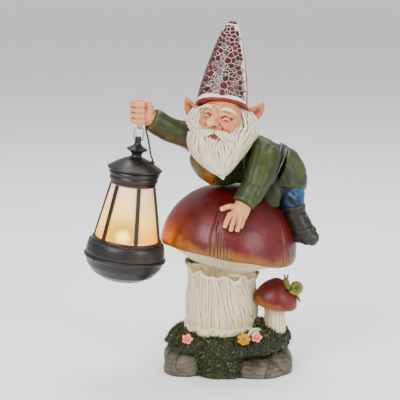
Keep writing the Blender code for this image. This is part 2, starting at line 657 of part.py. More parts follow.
def make_solar():
    frame = panel_frame()
    tray = block("solar_tray", (BEZEL, BEZEL, BEZEL_DEPTH), frame @ at((0, 0, -BEZEL_DEPTH / 2)))
    cut(tray, block("seat", (PANEL + 0.7, PANEL + 0.7, 4), frame @ at((0, 0, 0))))
    panel = block("solar_panel", (PANEL, PANEL, 1.5), frame @ at((0, 0, -0.9)))
    pocket = block("pocket", (BEZEL + 0.7, BEZEL + 0.7, 40), frame @ at((0, 0, 20 - BEZEL_DEPTH - 0.35)))
    return tray, panel, pocket


def make_battery():
    middle = (TUB_LOW + TUB_HIGH) / 2
    depth = TUB_BACK - TUB_FRONT
    tub = block("battery_box", (TUB_W, depth, TUB_HIGH - TUB_LOW), at((STEM_X, TUB_FRONT + depth / 2, middle)))
    pocket = block("pocket", (TUB_W + 0.7, 60, TUB_HIGH - TUB_LOW + 0.7), at((STEM_X, TUB_FRONT - 0.35 + 30, middle)))
    low, high = TUB_LOW + SWITCH_BAND + WALL, TUB_HIGH - WALL
    inner_w, inner_mid = TUB_W - 2 * WALL, (low + high) / 2
    cut(tub, block("hollow", (inner_w, depth + 4, high - low), at((STEM_X, TUB_FRONT + WALL + depth / 2 + 2, inner_mid))))
    switch_z = TUB_LOW + 4.6
    cut(tub, block("slot", (9.0, 5, 4.2), at((STEM_X + 1.5, TUB_BACK, switch_z))))
    slider = block("switch_slider", (4.8, 3.0, 3.4), at((STEM_X, TUB_BACK - 0.6, switch_z)))
    door = block("battery_door", (inner_w - 0.7, 1.6, high - low - 0.7), at((STEM_X, TUB_BACK - 1.2, inner_mid)))
    cut(door, block("notch", (9, 1.2, 1.6), at((STEM_X, TUB_BACK - 0.4, high - 8))))
    screw_at = at((STEM_X, TUB_BACK - 0.2, low + 6)) @ spin("X", -90)
    screw = lathe("door_screw", [(0, -1.9), (1.1, -1.9), (1.1, -0.6), (2.3, -0.6), (2.3, 0.2), (1.7, 0.6), (0, 0.7)], 14,
                  screw_at)
    cell = lathe("battery_cell", [(0, 0), (7.25, 0), (7.25, 49), (2.7, 49), (2.7, 50.3), (0, 50.3)], 24,
                 at((STEM_X - 4.5, TUB_FRONT + 10, low + 5.2)))
    spring_at = at((STEM_X - 4.5, TUB_FRONT + 10, low + 0.35))
    coil = []
    for k in range(28):
        turn = k / 27
        a = 2 * math.pi * 3 * turn
        coil.append(spring_at @ Vector(((5.4 - 2.6 * turn) * math.cos(a), (5.4 - 2.6 * turn) * math.sin(a),
                                        0.5 + 3.6 * turn)))
    spring = wire("contact_spring", coil, 0.4, 6)
    return tub, pocket, slider, door, screw, cell, spring


# ---------------------------------------------------------------- materials
COLOURS = {
    "ground_rock": (0.17, 0.15, 0.12), "ground_turf": (0.10, 0.14, 0.05), "mushroom_stem": (0.66, 0.60, 0.46),
    "stem_collar": (0.60, 0.50, 0.32), "mushroom_gills": (0.60, 0.55, 0.45), "mushroom_cap": (0.24, 0.02, 0.02),
    "small_stem": (0.62, 0.56, 0.42), "small_cap": (0.18, 0.02, 0.02), "snail_body": (0.20, 0.22, 0.05),
    "snail_shell": (0.24, 0.26, 0.07), "flower_pink_left": (0.75, 0.25, 0.32), "flower_pink_right": (0.75, 0.25, 0.32),
    "flower_yellow": (0.80, 0.50, 0.02), "leaf": (0.45, 0.50, 0.35), "coat_chest": (0.06, 0.10, 0.02),
    "coat_skirt": (0.06, 0.10, 0.02), "raised_sleeve": (0.06, 0.08, 0.02), "resting_sleeve": (0.07, 0.11, 0.02),
    "waistcoat": (0.45, 0.18, 0.02), "button": (0.06, 0.01, 0.01), "belt": (0.08, 0.08, 0.09),
    "trouser_near": (0.04, 0.13, 0.25), "trouser_far": (0.04, 0.13, 0.25), "boot_near": (0.04, 0.04, 0.03),
    "boot_far": (0.04, 0.04, 0.03), "head": (0.68, 0.40, 0.26), "ear_left": (0.68, 0.38, 0.25),
    "ear_right": (0.68, 0.38, 0.25), "raised_hand": (0.68, 0.40, 0.26), "resting_hand": (0.68, 0.40, 0.26),
    "hair": (0.68, 0.64, 0.56), "beard": (0.68, 0.64, 0.56), "hat_shell": (0.26, 0.02, 0.02), "hat_brim": (0.24, 0.02, 0.02),
    "hat_mosaic": (0.30, 0.10, 0.09), "hand_eye": (0.5, 0.5, 0.5), "bail": (0.5, 0.5, 0.5),
    "lantern_finial": (0.035, 0.03, 0.028), "lantern_roof": (0.035, 0.03, 0.028), "lantern_collar": (0.035, 0.03, 0.028),
    "lantern_cage": (0.035, 0.03, 0.028), "lantern_band": (0.035, 0.03, 0.028), "lantern_bowl": (0.035, 0.03, 0.028),
    "lantern_floor": (0.6, 0.6, 0.58), "lantern_shade": (0.9, 0.72, 0.5), "lantern_led": (1.0, 0.75, 0.25),
    "bowl_screw_a": (0.02, 0.02, 0.02), "bowl_screw_b": (0.02, 0.02, 0.02), "bowl_screw_c": (0.02, 0.02, 0.02),
    "roof_grommet": (0.01, 0.01, 0.01), "lead_upper": (0.01, 0.01, 0.01), "lead_lower": (0.01, 0.01, 0.01),
    "solar_tray": (0.02, 0.02, 0.02), "solar_panel": (0.01, 0.02, 0.06), "battery_box": (0.02, 0.02, 0.02),
    "battery_door": (0.03, 0.03, 0.03), "door_screw": (0.5, 0.5, 0.5), "switch_slider": (0.05, 0.05, 0.05),
    "battery_cell": (0.05, 0.25, 0.10), "contact_spring": (0.6, 0.6, 0.6),
}
METALS = {"hand_eye", "bail", "door_screw", "contact_spring"}


def paint(obj):
    material = bpy.data.materials.new(obj.name)
    material.use_nodes = True
    shader = material.node_tree.nodes["Principled BSDF"]
    shader.inputs["Base Color"].default_value = (*COLOURS[obj.name], 1.0)
    shader.inputs["Metallic"].default_value = 1.0 if obj.name in METALS else 0.0
    shader.inputs["Roughness"].default_value = 0.35 if obj.name in METALS else 0.5
    obj.data.materials.clear()
    obj.data.materials.append(material)


# ---------------------------------------------------------------- assembly
def main():
    for obj in list(bpy.data.objects):
        bpy.data.objects.remove(obj)

    rock, turf = make_ground()
    stem, stem_collar, gills, cap = make_big_mushroom()
    small_stem, small_cap, shell, snail = make_small_mushroom()
    flowers = [make_flower("flower_pink_left", -45.3, -35, 40.5, 5.6),
               make_flower("flower_yellow", 16.5, -42.5, 42.5, 6.2),
               make_flower("flower_pink_right", 30.5, -38, 43.5, 5.2)]
    leaf = limb("leaf", [(27, -33, 37, 2.4, 1.8), (26.6, -34, 46, 3.6, 1.9), (27.6, -35, 52, 2.8, 1.6),
                         (29.4, -36, 56, 1.6, 1.3)], 12, up=(0, 1, 0))
    chest, skirt, belt, vest, button = make_body()
    raised, resting, fist, palm = make_arms()
    trouser_near, boot_near, trouser_far, boot_far = make_legs()
    head, ear_left, ear_right, hair, beard = make_head()
    hat, brim, mosaic, hat_room = make_hat()
    (eye, bail, finial, roof, collar, shade, cage, band, floor, bowl, led, screws, grommet) = make_lantern()
    (lead_upper, lead_lower), channels = make_lead()
    tray, panel, cap_pocket = make_solar()
    tub, stem_pocket, slider, door, door_screw, cell, spring = make_battery()

    # the castings, each bedded against what it stands on or is pushed into
    bed(turf, rock, stem, small_stem, leaf, *flowers)
    bed(gills, stem, tub)
    cut(stem, stem_pocket)
    bed(stem_collar, stem, gills, tub)
    bed(turf, tub)
    cut(cap, cap_pocket)
    bed(small_cap, small_stem)
    bed(snail, small_cap)
    bed(shell, snail, small_cap)
    bed(leaf, small_stem, flowers[2])
    bed(chest, cap, tray, belt, head)
    bed(skirt, cap, belt, chest)
    bed(vest, chest, cap)
    bed(button, vest, chest)
    bed(trouser_near, skirt, cap)
    bed(trouser_far, skirt, cap, trouser_near)
    bed(boot_near, trouser_near, cap)
    bed(boot_far, trouser_far, cap)
    bed(hat, head, mosaic)
    bed(brim, hat, mosaic, head)
    bed(ear_left, head, hat_room)
    bed(ear_right, head, hat_room)
    bed(beard, chest, vest, head)
    bed(hair, chest, head, ear_left, ear_right, hat_room, beard)
    drop(hat_room)
    bed(palm, cap)
    bed(resting, palm, cap, chest, skirt, belt, beard, hair)
    bed(fist, eye, channels[0])
    bed(raised, fist, chest, beard, hair, ear_left, channels[0], vest)
    for channel in channels:
        drop(channel)
    bed(roof, grommet)
    bed(bowl, *screws)
    bed(door, door_screw)

    hang, frame = lantern_frame()
    set_origin(bail, HOOK)
    pins = frame @ Vector((0, 0, 0))
    for piece in [finial, roof, collar, shade, cage, band, floor, bowl, led, grommet] + screws:
        set_origin(piece, pins)
    for piece in (door, door_screw, slider):
        set_origin(piece, (STEM_X, TUB_BACK, TUB_LOW + 4.6 if piece is slider else (TUB_LOW + TUB_HIGH) / 2))

    for mesh in WHOLE.values():
        bpy.data.meshes.remove(mesh)
    for obj in bpy.data.objects:
        paint(obj)
        if obj.type == "MESH":
            print(f"{obj.name}: {sum(len(p.vertices) - 2 for p in obj.data.polygons)} triangles")
    print("hook", tuple(round(v, 3) for v in HOOK), "pins", tuple(round(v, 3) for v in pins),
          "pin axis", tuple(round(v, 4) for v in hang.to_3x3() @ Vector((1, 0, 0))))


main()
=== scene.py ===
"""Looks of the garden gnome: sculpted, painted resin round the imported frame.

Shapes below are worked out in millimetres in the frame's own axes (+X towards the boots, +Y away
from the face, +Z up) and become metres when a mesh is made.
"""
import json
import math

import bmesh
import bpy
import numpy as np
from mathutils import Matrix, Vector

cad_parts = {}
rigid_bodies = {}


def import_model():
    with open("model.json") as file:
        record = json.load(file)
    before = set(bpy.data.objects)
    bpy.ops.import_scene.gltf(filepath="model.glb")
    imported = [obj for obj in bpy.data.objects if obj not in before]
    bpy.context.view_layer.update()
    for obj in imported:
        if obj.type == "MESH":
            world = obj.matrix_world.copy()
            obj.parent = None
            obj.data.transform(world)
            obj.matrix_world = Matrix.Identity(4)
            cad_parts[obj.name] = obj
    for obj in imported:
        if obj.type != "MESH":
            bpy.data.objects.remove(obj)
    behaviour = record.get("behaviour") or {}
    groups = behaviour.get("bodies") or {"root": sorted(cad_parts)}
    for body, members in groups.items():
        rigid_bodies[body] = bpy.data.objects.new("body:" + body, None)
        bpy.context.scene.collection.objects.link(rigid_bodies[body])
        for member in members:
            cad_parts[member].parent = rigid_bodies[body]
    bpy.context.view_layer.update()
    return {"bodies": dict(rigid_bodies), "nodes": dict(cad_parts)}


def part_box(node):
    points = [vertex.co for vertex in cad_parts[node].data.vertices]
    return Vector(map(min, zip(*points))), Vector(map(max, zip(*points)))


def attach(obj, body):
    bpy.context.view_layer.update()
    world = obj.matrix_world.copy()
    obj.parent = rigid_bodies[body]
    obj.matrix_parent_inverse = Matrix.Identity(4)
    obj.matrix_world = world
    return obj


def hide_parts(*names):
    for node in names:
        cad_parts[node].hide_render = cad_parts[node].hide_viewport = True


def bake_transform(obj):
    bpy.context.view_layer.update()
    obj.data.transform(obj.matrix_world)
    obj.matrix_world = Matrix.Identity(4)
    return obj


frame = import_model()

MM = 0.001
FINE = 1.0

# Places and sizes shared with the frame
STEM_X = -7.0
GROUND_X, GROUND_Y = 72.5, 56.0
BANK_H = 9.5                          # the turf's rise towards the small mushroom
CAP_R, CAP_H = 75.5, 70.0
CAP_AT = Vector((0.0, 0.0, 137.0))
CAP_ROLL, CAP_PITCH = 7.3, -4.0
PANEL_TURN, PANEL_RISE, PANEL_SEAT = 10.0, 35.0, 46.4
PANEL_IN, PANEL_WELL = 2.5, -6.0      # the tray's face below the dome, the recess's floor from that face
SMALL_AT = Vector((51.7, -18.0, 76.2))
SMALL_R, SMALL_H, SMALL_ROLL = 22.5, 29.0, 12.0
HEAD_AT = Vector((-9.0, -32.0, 283.0))
HEAD_ROLL, HEAD_YAW = 7.5, -20.0
HAT_AT = Vector((-7.8, -20.0, 294.5))
HAT_ROLL, HAT_PITCH, HAT_H = 7.5, -10.0, 93.0
HAT_PROFILE = [(27.5, 0), (24.2, 25), (17.4, 55), (11.7, 75.5), (5.6, 89), (3.0, 92.3), (0, HAT_H)]
WAIST = Vector((48.5, 1.0, 225.5))
WAIST_AXIS = Vector((0.90, 0.0, -0.43)).normalized()
WAIST_R = 26.5
HOOK = Vector((-95.6, -34.5, 274.1))
WIRE_R, LINK = 0.6, 0.85
EYE_R, EYE_YAW = 3.65, -55.0
BAIL_R, BAIL_DROP, LANTERN_TILT = 4.9, 12.9, 7.0
LEAD_R, LEAD_IN = 0.95, 17.7

# How many blades the turf has, and strands the beard and the hair
BLADES = 9000
BEARD_LOCKS, HAIR_LOCKS = 104, 150


# ---------------------------------------------------------------- numbers and noise
def srgb(*rgb):
    """Linear colour from 0-255 display values, deepened a little for the film-like view."""
    linear = [c / 255 / 12.92 if c < 10.4 else ((c / 255 + 0.055) / 1.055) ** 2.4 for c in rgb]
    grey = sum(linear) / 3
    return tuple(min(max(grey + (c - grey) * 1.2, 0.0), 1.0) ** 1.24 for c in linear)


def spin(axis, degrees):
    return Matrix.Rotation(math.radians(degrees), 4, axis)


def at(point):
    return Matrix.Translation(Vector(point))


def moved(points, place):
    m = np.array(place)
    return np.asarray(points, float) @ m[:3, :3].T + m[:3, 3]


def ramp(x, low, high):
    t = np.clip((np.asarray(x, float) - low) / (high - low), 0, 1)
    return t * t * (3 - 2 * t)


def round_angles(count):
    return 2 * np.pi * np.arange(count) / count


def value_noise(p, seed=0):
    """Smooth noise from -1 to 1, one lattice cell per unit."""
    cell = np.floor(p).astype(np.int64)
    f = p - cell
    f = f * f * (3 - 2 * f)
    total = np.zeros(len(p))
    for k in range(8):
        d = np.array([k & 1, k >> 1 & 1, k >> 2 & 1])
        h = ((cell + d) * np.array([73856093, 19349663, 83492791])).sum(1) + seed * 912931
        h = (h ^ (h >> 13)) * 1274126177
        h = (h ^ (h >> 16)) & 0x7fffffff
        total += (h % 20011 / 10005.0 - 1) * np.prod(np.where(d, f, 1 - f), 1)
    return total


def fbm(p, size, octaves=3, seed=0):
    p = np.asarray(p, float).reshape(-1, 3) / size
    return sum(value_noise(p * 2 ** k + 17.3 * k, seed + k) / 2 ** k for k in range(octaves))


def patches(p, size, seed, low, high):
    """Weight of soft blotches about size millimetres across."""
    return ramp(fbm(p, size, 3, seed), low, high)


def spline(stations, step=1.0):
    """Catmull-Rom rows through the stations, about step apart."""
    s = np.asarray(stations, float)
    ends = np.vstack([2 * s[0] - s[1], s, 2 * s[-1] - s[-2]])
    rows = []
    for i in range(1, len(ends) - 2):
        p0, p1, p2, p3 = ends[i - 1:i + 3]
        count = max(1, int(np.linalg.norm((p2 - p1)[:3]) / step))
        t = (np.arange(count) / count)[:, None]
        rows.append(0.5 * (2 * p1 + (p2 - p0) * t + (2 * p0 - 5 * p1 + 4 * p2 - p3) * t ** 2
                           + (3 * p1 - p0 - 3 * p2 + p3) * t ** 3))
    return np.vstack(rows + [s[-1:]])


def outline(points, step):
    """Smooth (radius, height) rows through the points."""
    return spline([(r, z, 0) for r, z in points], step)[:, :2]


def stroke(points, line, width):
    """Weight of a soft brush drawn along a polyline: 1 on the line, less with each point's distance."""
    line = np.asarray(line, float)
    nearest = np.full(len(points), 1e9)
    for a, b in zip(line, line[1:]):
        d = b - a
        t = np.clip((points - a) @ d / max(d @ d, 1e-9), 0, 1)
        nearest = np.minimum(nearest, np.linalg.norm(points - a - t[:, None] * d, axis=1))
    return np.exp(-(nearest / width) ** 2)


# ---------------------------------------------------------------- shapes: (points, faces)
def grid_faces(rows, sides, loop=False):
    k = np.arange(sides)
    i = (np.arange(rows if loop else rows - 1))[:, None]
    j = (i + 1) % rows
    n = (k + 1) % sides
    return np.stack([i * sides + k, i * sides + n, j * sides + n, j * sides + k], -1).reshape(-1, 4).tolist()


def sweep(rings, loop=False):
    """A closed skin over rings of points, with a fan on each end unless it's a loop."""
    rings = np.asarray(rings, float)
    rows, sides = rings.shape[:2]
    points = rings.reshape(-1, 3)
    faces = grid_faces(rows, sides, loop)
    if not loop:
        points = np.vstack([points, rings[0].mean(0), rings[-1].mean(0)])
        low, high, base = rows * sides, rows * sides + 1, (rows - 1) * sides
        for k in range(sides):
            n = (k + 1) % sides
            faces.append((n, k, low))
            faces.append((base + k, base + n, high))
    return points, faces


def lathe(profile, sides, place=None, shape=None, loop=False):
    """Turns (radius, height) rows about z. shape(a, r, z) may return other r and z."""
    profile = np.asarray(profile, float)
    a = np.tile(round_angles(sides), (len(profile), 1))
    r, z = np.tile(profile[:, :1], sides), np.tile(profile[:, 1:2], sides)
    if shape is not None:
        r, z = shape(a, r, z)
    rings = np.stack([r * np.cos(a), r * np.sin(a), z + 0 * a], -1)
    points, faces = sweep(rings, loop)
    return (moved(points, place) if place is not None else points), faces


def ball(centre, radii, place=None, sides=64):
    rows = sides // 2
    t = np.pi * (np.arange(rows) + 0.5) / rows
    oval = at(centre) @ (place or Matrix.Identity(4)) @ Matrix.Diagonal((*radii, 1))
    return lathe(np.stack([np.sin(t), -np.cos(t)], 1), sides, oval)


def limb(stations, up=(0, 0, 1), caps=(0.7, 0.7), sides=40, step=1.2):
    """An oval section (x, y, z, across, thick) carried along a smooth path, with rounded ends."""
    s = spline(stations, step)
    centre, across, thick = s[:, :3], s[:, 3], s[:, 4]
    tangent = np.gradient(centre, axis=0)
    tangent /= np.linalg.norm(tangent, axis=1)[:, None]
    side = np.cross(tangent, up)
    side /= np.linalg.norm(side, axis=1)[:, None]
    top = np.cross(side, tangent)
    a = round_angles(sides)
    oval = (side[:, None] * (across[:, None] * np.cos(a))[..., None]
            + top[:, None] * (thick[:, None] * np.sin(a))[..., None])
    rings = list(centre[:, None] + oval)
    for end, sign, cap in ((0, -1, caps[0]), (-1, 1, caps[1])):
        reach = cap * min(across[end], thick[end])
        for k in range(1, 7):
            t = math.radians(14.5 * k)
            ring = centre[end] + sign * tangent[end] * reach * math.sin(t) + oval[end] * math.cos(t)
            rings.insert(0, ring) if end == 0 else rings.append(ring)
    return sweep(rings)


def tube(path, radius, sides=10, loop=False):
    """A round tube along the points; radius may be one number or one for each point."""
    path = np.asarray(path, float)
    radius = np.broadcast_to(radius, len(path))
    tangent = np.roll(path, -1, 0) - np.roll(path, 1, 0) if loop else np.gradient(path, axis=0)
    tangent /= np.linalg.norm(tangent, axis=1)[:, None]
    a = round_angles(sides)
    side = np.cross(tangent[0], (0.3, 0.9, 0.2))
    rings = []
    for p, t, r in zip(path, tangent, radius):
        side = side - t * (side @ t)
        side /= np.linalg.norm(side)
        top = np.cross(t, side)
        rings.append(p + r * (np.outer(np.cos(a), side) + np.outer(np.sin(a), top)))
    return sweep(rings, loop)


def merge(*shapes):
    points, faces, start = [], [], 0
    for p, f in shapes:
        points.append(p)
        faces += [[i + start for i in face] for face in f]
        start += len(p)
    return np.vstack(points), faces


# ---------------------------------------------------------------- meshes
def make(name, shape, sharp=None):
    """A smooth-shaded object from a shape; sharp is the angle above which edges stay crisp."""
    points, faces = shape
    mesh = bpy.data.meshes.new(name)
    mesh.from_pydata((np.asarray(points) * MM).tolist(), [], faces)
    bm = bmesh.new()
    bm.from_mesh(mesh)
    bmesh.ops.recalc_face_normals(bm, faces=bm.faces)
    bm.to_mesh(mesh)
    bm.free()
    mesh.polygons.foreach_set("use_smooth", np.ones(len(mesh.polygons), bool))
    if sharp:
        mesh.set_sharp_from_angle(angle=math.radians(sharp))
    obj = bpy.data.objects.new(name, mesh)
    bpy.context.collection.objects.link(obj)
    return obj


def places(obj):
    co = np.empty(len(obj.data.vertices) * 3, np.float32)
    obj.data.vertices.foreach_get("co", co)
    return co.reshape(-1, 3).astype(float) / MM


def normals(obj):
    no = np.empty(len(obj.data.vertices) * 3, np.float32)
    obj.data.vertex_normals.foreach_get("vector", no)
    return no.reshape(-1, 3).astype(float)


def put(obj, co):
    obj.data.vertices.foreach_set("co", (co * MM).astype(np.float32).ravel())
    obj.data.update()


def sink(obj, place, half_x, half_y, floor):
    """Presses what lies over a rectangle down to a floor, along the place's Z: a recess for a fitting."""
    local = moved(places(obj), place.inverted())
    over = (np.abs(local[:, 0]) < half_x) & (np.abs(local[:, 1]) < half_y) & (local[:, 2] > floor)
    local[over, 2] = floor
    put(obj, moved(local, place))


def relaxed(obj, co, rounds):
    """Positions after averaging each vertex with its neighbours, a few rounds."""
    edges = np.empty(len(obj.data.edges) * 2, np.int32)
    obj.data.edges.foreach_get("vertices", edges)
    a, b = edges.reshape(-1, 2).T
    count = np.maximum(np.bincount(a, minlength=len(co)) + np.bincount(b, minlength=len(co)), 1)
    for _ in range(rounds):
        mean = np.stack([np.bincount(a, co[b, k], len(co)) + np.bincount(b, co[a, k], len(co))
                         for k in range(3)], 1) / count[:, None]
        co = 0.5 * co + 0.5 * mean
    return co


def mould(name, shapes, voxel=0.6, rounds=4):
    """One closed skin round overlapping shapes, as a casting has."""
    obj = make(name, merge(*shapes))
    modifier = obj.modifiers.new("skin", "REMESH")
    modifier.mode = "VOXEL"
    modifier.voxel_size = voxel * FINE * MM
    bpy.context.view_layer.update()
    mesh = bpy.data.meshes.new_from_object(obj.evaluated_get(bpy.context.evaluated_depsgraph_get()))
    obj.modifiers.clear()
    old, obj.data = obj.data, mesh
    bpy.data.meshes.remove(old)
    mesh.name = name
    mesh.polygons.foreach_set("use_smooth", np.ones(len(mesh.polygons), bool))
    put(obj, relaxed(obj, places(obj), rounds))
    return obj


def push(obj, amount):
    """Moves every vertex along its normal by its own amount."""
    put(obj, places(obj) + normals(obj) * np.asarray(amount)[:, None])


def set_attribute(obj, name, values, kind="FLOAT"):
    layer = obj.data.attributes.new(name, kind, "POINT")
    if kind == "FLOAT":
        layer.data.foreach_set("value", values.astype(np.float32))
    else:
        rgba = np.ones((len(values), 4), np.float32)
        rgba[:, :3] = values
        layer.data.foreach_set("color", rgba.ravel())


def measure_hollows(obj, rounds=12, depth=0.5):
    """Stores how far each vertex lies in a hollow (1) or on a ridge (-1); the paints darken hollows as wash
    and painted shade and lighten ridges as wear and painted highlight.
    """
    co = places(obj)
    sunk = ((relaxed(obj, co, rounds) - co) * normals(obj)).sum(1) / depth
    set_attribute(obj, "hollow", np.clip(sunk, -1, 1))


def paint(obj, base, *layers):
    """Vertex colours: a base, then (weight, colour) layers over it."""
    colour = np.tile(np.asarray(base, float), (len(obj.data.vertices), 1))
    for weight, over in layers:
        w = np.clip(weight, 0, 1)[:, None]
        colour = colour * (1 - w) + np.asarray(over, float) * w
    set_attribute(obj, "paint", colour, "FLOAT_COLOR")


# ---------------------------------------------------------------- materials
def new_material(name):
    material = bpy.data.materials.new(name)
    material.use_nodes = True
    tree = material.node_tree
    return material, tree, tree.nodes["Principled BSDF"]


def node(tree, kind, **inputs):
    """A new node; names that aren't settings of the node are its input sockets."""
    made = tree.nodes.new("ShaderNode" + kind)
    for key, value in inputs.items():
        if key in ("operation", "attribute_name"):
            setattr(made, key, value)
        else:
            made.inputs[key.replace("_", " ")].default_value = value
    return made


def link(tree, out, into):
    tree.links.new(out, into)


def object_noise(tree, size, detail=3.0, stretch=(1, 1, 1)):
    """Noise in the object's own metres, with features about size millimetres across."""
    coordinates = node(tree, "TexCoord")
    mapping = node(tree, "Mapping")
    mapping.inputs["Scale"].default_value = tuple(s / (size * MM) for s in stretch)
    link(tree, coordinates.outputs["Object"], mapping.inputs["Vector"])
    noise = node(tree, "TexNoise", Scale=1.0, Detail=detail, Roughness=0.6)
    link(tree, mapping.outputs["Vector"], noise.inputs["Vector"])
    return noise.outputs["Fac"]


def remap(tree, value, low, high, to_low=0.0, to_high=1.0):
    made = node(tree, "MapRange", From_Min=low, From_Max=high, To_Min=to_low, To_Max=to_high)
    link(tree, value, made.inputs["Value"])
    return made.outputs["Result"]


def mix(tree, factor, a, b, blend="MIX"):
    """Colour mix; a is an output, b an output or a constant colour."""
    made = tree.nodes.new("ShaderNodeMix")
    made.data_type = "RGBA"
    made.blend_type = blend
    if isinstance(factor, float):
        made.inputs[0].default_value = factor
    else:
        link(tree, factor, made.inputs[0])
    for socket, value in ((made.inputs[6], a), (made.inputs[7], b)):
        if isinstance(value, tuple):
            socket.default_value = (*value, 1.0)
        else:
            link(tree, value, socket)
    return made.outputs[2]


def resin(name, wash_and_shade, wash_and_shade_share=0.8, wear_and_highlight=None, wear_and_highlight_share=0.35, mottle=9.0, mottle_share=0.3,
          gloss=0.38, grain=0.9, bump=0.25, coat=0.0, stretch=(1, 1, 1), shine=0.32):
    """Hand-painted casting: the mesh's own paint, mottled, dark in the hollows with a wash that also paints
    their shade, lighter on the ridges with wear and a painted highlight.
    """
    material, tree, shader = new_material(name)
    colour = node(tree, "Attribute", attribute_name="paint").outputs["Color"]
    hollow = node(tree, "Attribute", attribute_name="hollow").outputs["Fac"]
    cloud = object_noise(tree, mottle, 4.0, stretch)
    fleck = object_noise(tree, grain, 2.0, stretch)
    light = remap(tree, cloud, 0.3, 0.7, 1 - mottle_share, 1 + mottle_share * 0.55)
    grey = node(tree, "CombineColor")
    for channel in ("Red", "Green", "Blue"):
        link(tree, light, grey.inputs[channel])
    colour = mix(tree, 1.0, colour, grey.outputs["Color"], "MULTIPLY")
    # Darker in the hollows: wash and painted shade; lighter on the ridges: wear and painted highlight.
    colour = mix(tree, remap(tree, hollow, 0.05, 0.65, 0.0, wash_and_shade_share), colour, wash_and_shade)
    if wear_and_highlight:
        colour = mix(tree, remap(tree, hollow, -0.1, -0.7, 0.0, wear_and_highlight_share), colour, wear_and_highlight)
    link(tree, colour, shader.inputs["Base Color"])
    link(tree, remap(tree, cloud, 0.3, 0.7, gloss - 0.06, gloss + 0.12), shader.inputs["Roughness"])
    relief = node(tree, "Bump", Strength=bump, Distance=0.4 * MM)
    link(tree, fleck, relief.inputs["Height"])
    link(tree, relief.outputs["Normal"], shader.inputs["Normal"])
    shader.inputs["Specular IOR Level"].default_value = shine
    if coat:
        shader.inputs["Coat Weight"].default_value = coat
        shader.inputs["Coat Roughness"].default_value = 0.22
    return material


def plain(name, base, other, size, rough, metallic=0.0, bump=0.15, grain=0.8):
    """A finish for a machined or moulded part: two close colours, uneven gloss and a fine grain."""
    material, tree, shader = new_material(name)
    cloud = object_noise(tree, size, 4.0)
    fleck = object_noise(tree, grain, 2.0)
    link(tree, mix(tree, remap(tree, cloud, 0.35, 0.65), base, other), shader.inputs["Base Color"])
    link(tree, remap(tree, cloud, 0.3, 0.7, rough - 0.06, rough + 0.1), shader.inputs["Roughness"])
    shader.inputs["Metallic"].default_value = metallic
    relief = node(tree, "Bump", Strength=bump, Distance=0.3 * MM)
    link(tree, fleck, relief.inputs["Height"])
    link(tree, relief.outputs["Normal"], shader.inputs["Normal"])
    return material


def finish(obj, material, body, *nodes):
    """Gives a piece its material and its body, and names the CAD nodes it stands for."""
    obj.data.materials.clear()
    obj.data.materials.append(material)
    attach(obj, body)
    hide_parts(*nodes)


# ---------------------------------------------------------------- camera, light and floor
def make_camera():
    """Level with the lantern, a little above the cap, far enough for a flat product view."""
    aim, distance, height = Vector((-31.35, 0.0, 189.0)), 1500.0, math.radians(11.5)
    camera = bpy.data.objects.new("camera", bpy.data.cameras.new("camera"))
    back = Vector((0, -math.cos(height), math.sin(height)))
    camera.location = (aim + back * distance) * MM
    camera.rotation_euler = (-back).to_track_quat("-Z", "Y").to_euler()
    camera.data.sensor_width, camera.data.lens = 36.0, 122.7
    camera.data.clip_start, camera.data.clip_end = 0.05, 20.0
    bpy.context.collection.objects.link(camera)
    bpy.context.scene.camera = camera


def make_studio():
    world = bpy.data.worlds.new("studio")
    world.use_nodes = True
    world.node_tree.nodes["Background"].inputs["Color"].default_value = (1.0, 1.0, 1.0, 1.0)
    world.node_tree.nodes["Background"].inputs["Strength"].default_value = 0.8
    bpy.context.scene.world = world
    for name, place, size, power in (("key", (-0.85, -1.2, 1.2), 1.1, 34.0),
                                     ("fill", (1.15, -1.0, 0.7), 0.9, 15.0),
                                     ("top", (0.1, 0.5, 1.6), 1.3, 26.0)):
        lamp = bpy.data.objects.new(name, bpy.data.lights.new(name, "AREA"))
        lamp.data.shape, lamp.data.size, lamp.data.energy = "DISK", size, power
        lamp.location = place
        aim = Vector((0.0, 0.0, 0.2)) - Vector(place)
        lamp.rotation_euler = aim.to_track_quat("-Z", "Y").to_euler()
        bpy.context.collection.objects.link(lamp)
    mesh = bpy.data.meshes.new("floor")
    mesh.from_pydata([(-6, -6, 0), (6, -6, 0), (6, 6, 0), (-6, 6, 0)], [], [(0, 1, 2, 3)])
    floor = bpy.data.objects.new("floor", mesh)
    bpy.context.collection.objects.link(floor)
    material, _, shader = new_material("floor")
    shader.inputs["Base Color"].default_value = (0.96, 0.96, 0.96, 1)
    shader.inputs["Roughness"].default_value = 0.7
    mesh.materials.append(material)


# ---------------------------------------------------------------- the lead
def lantern_frame():
    hang = at(HOOK) @ spin("Y", LANTERN_TILT)
    return hang, hang @ at((0, 0, -BAIL_DROP))


def make_lead():
    """A thin rubber lead from the cuff down to the roof, in two lengths that meet beside the bail."""
    roof = lantern_frame()[1]
    y = HOOK.y
    upper = [(-73.5, y + 3, 273.5), (-79, y - 1.4, 277.4), (-83.6, y - 2.6, 279.2), (-87.2, y - 3, 278),
             (-88.7, y - 2.8, 274.4), (-88.2, y - 2.2, 270), (-87.1, y - 1.4, 265.4)]
    lower = [(-87.0, y - 1.35, 265.0), (-86.2, y - 1, 260.5), (-85, y - 0.5, 253), (-83.8, y, 245),
             tuple(roof @ Vector((LEAD_IN, 0, -20))), tuple(roof @ Vector((LEAD_IN, 0, -27)))]
    rubber = plain("lead_rubber", srgb(22, 20, 19), srgb(38, 36, 34), 6.0, 0.45, grain=0.5)
    for name, route, bodies in (("upper", upper, ("statue", "bail")), ("lower", lower, ("bail", "lantern"))):
        path = spline(route, 0.8)
        lead = make("lead_" + name + "_flex", tube(path, LEAD_R, 16))
        lead.data.materials.append(rubber)
        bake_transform(lead)
        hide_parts("lead_" + name)


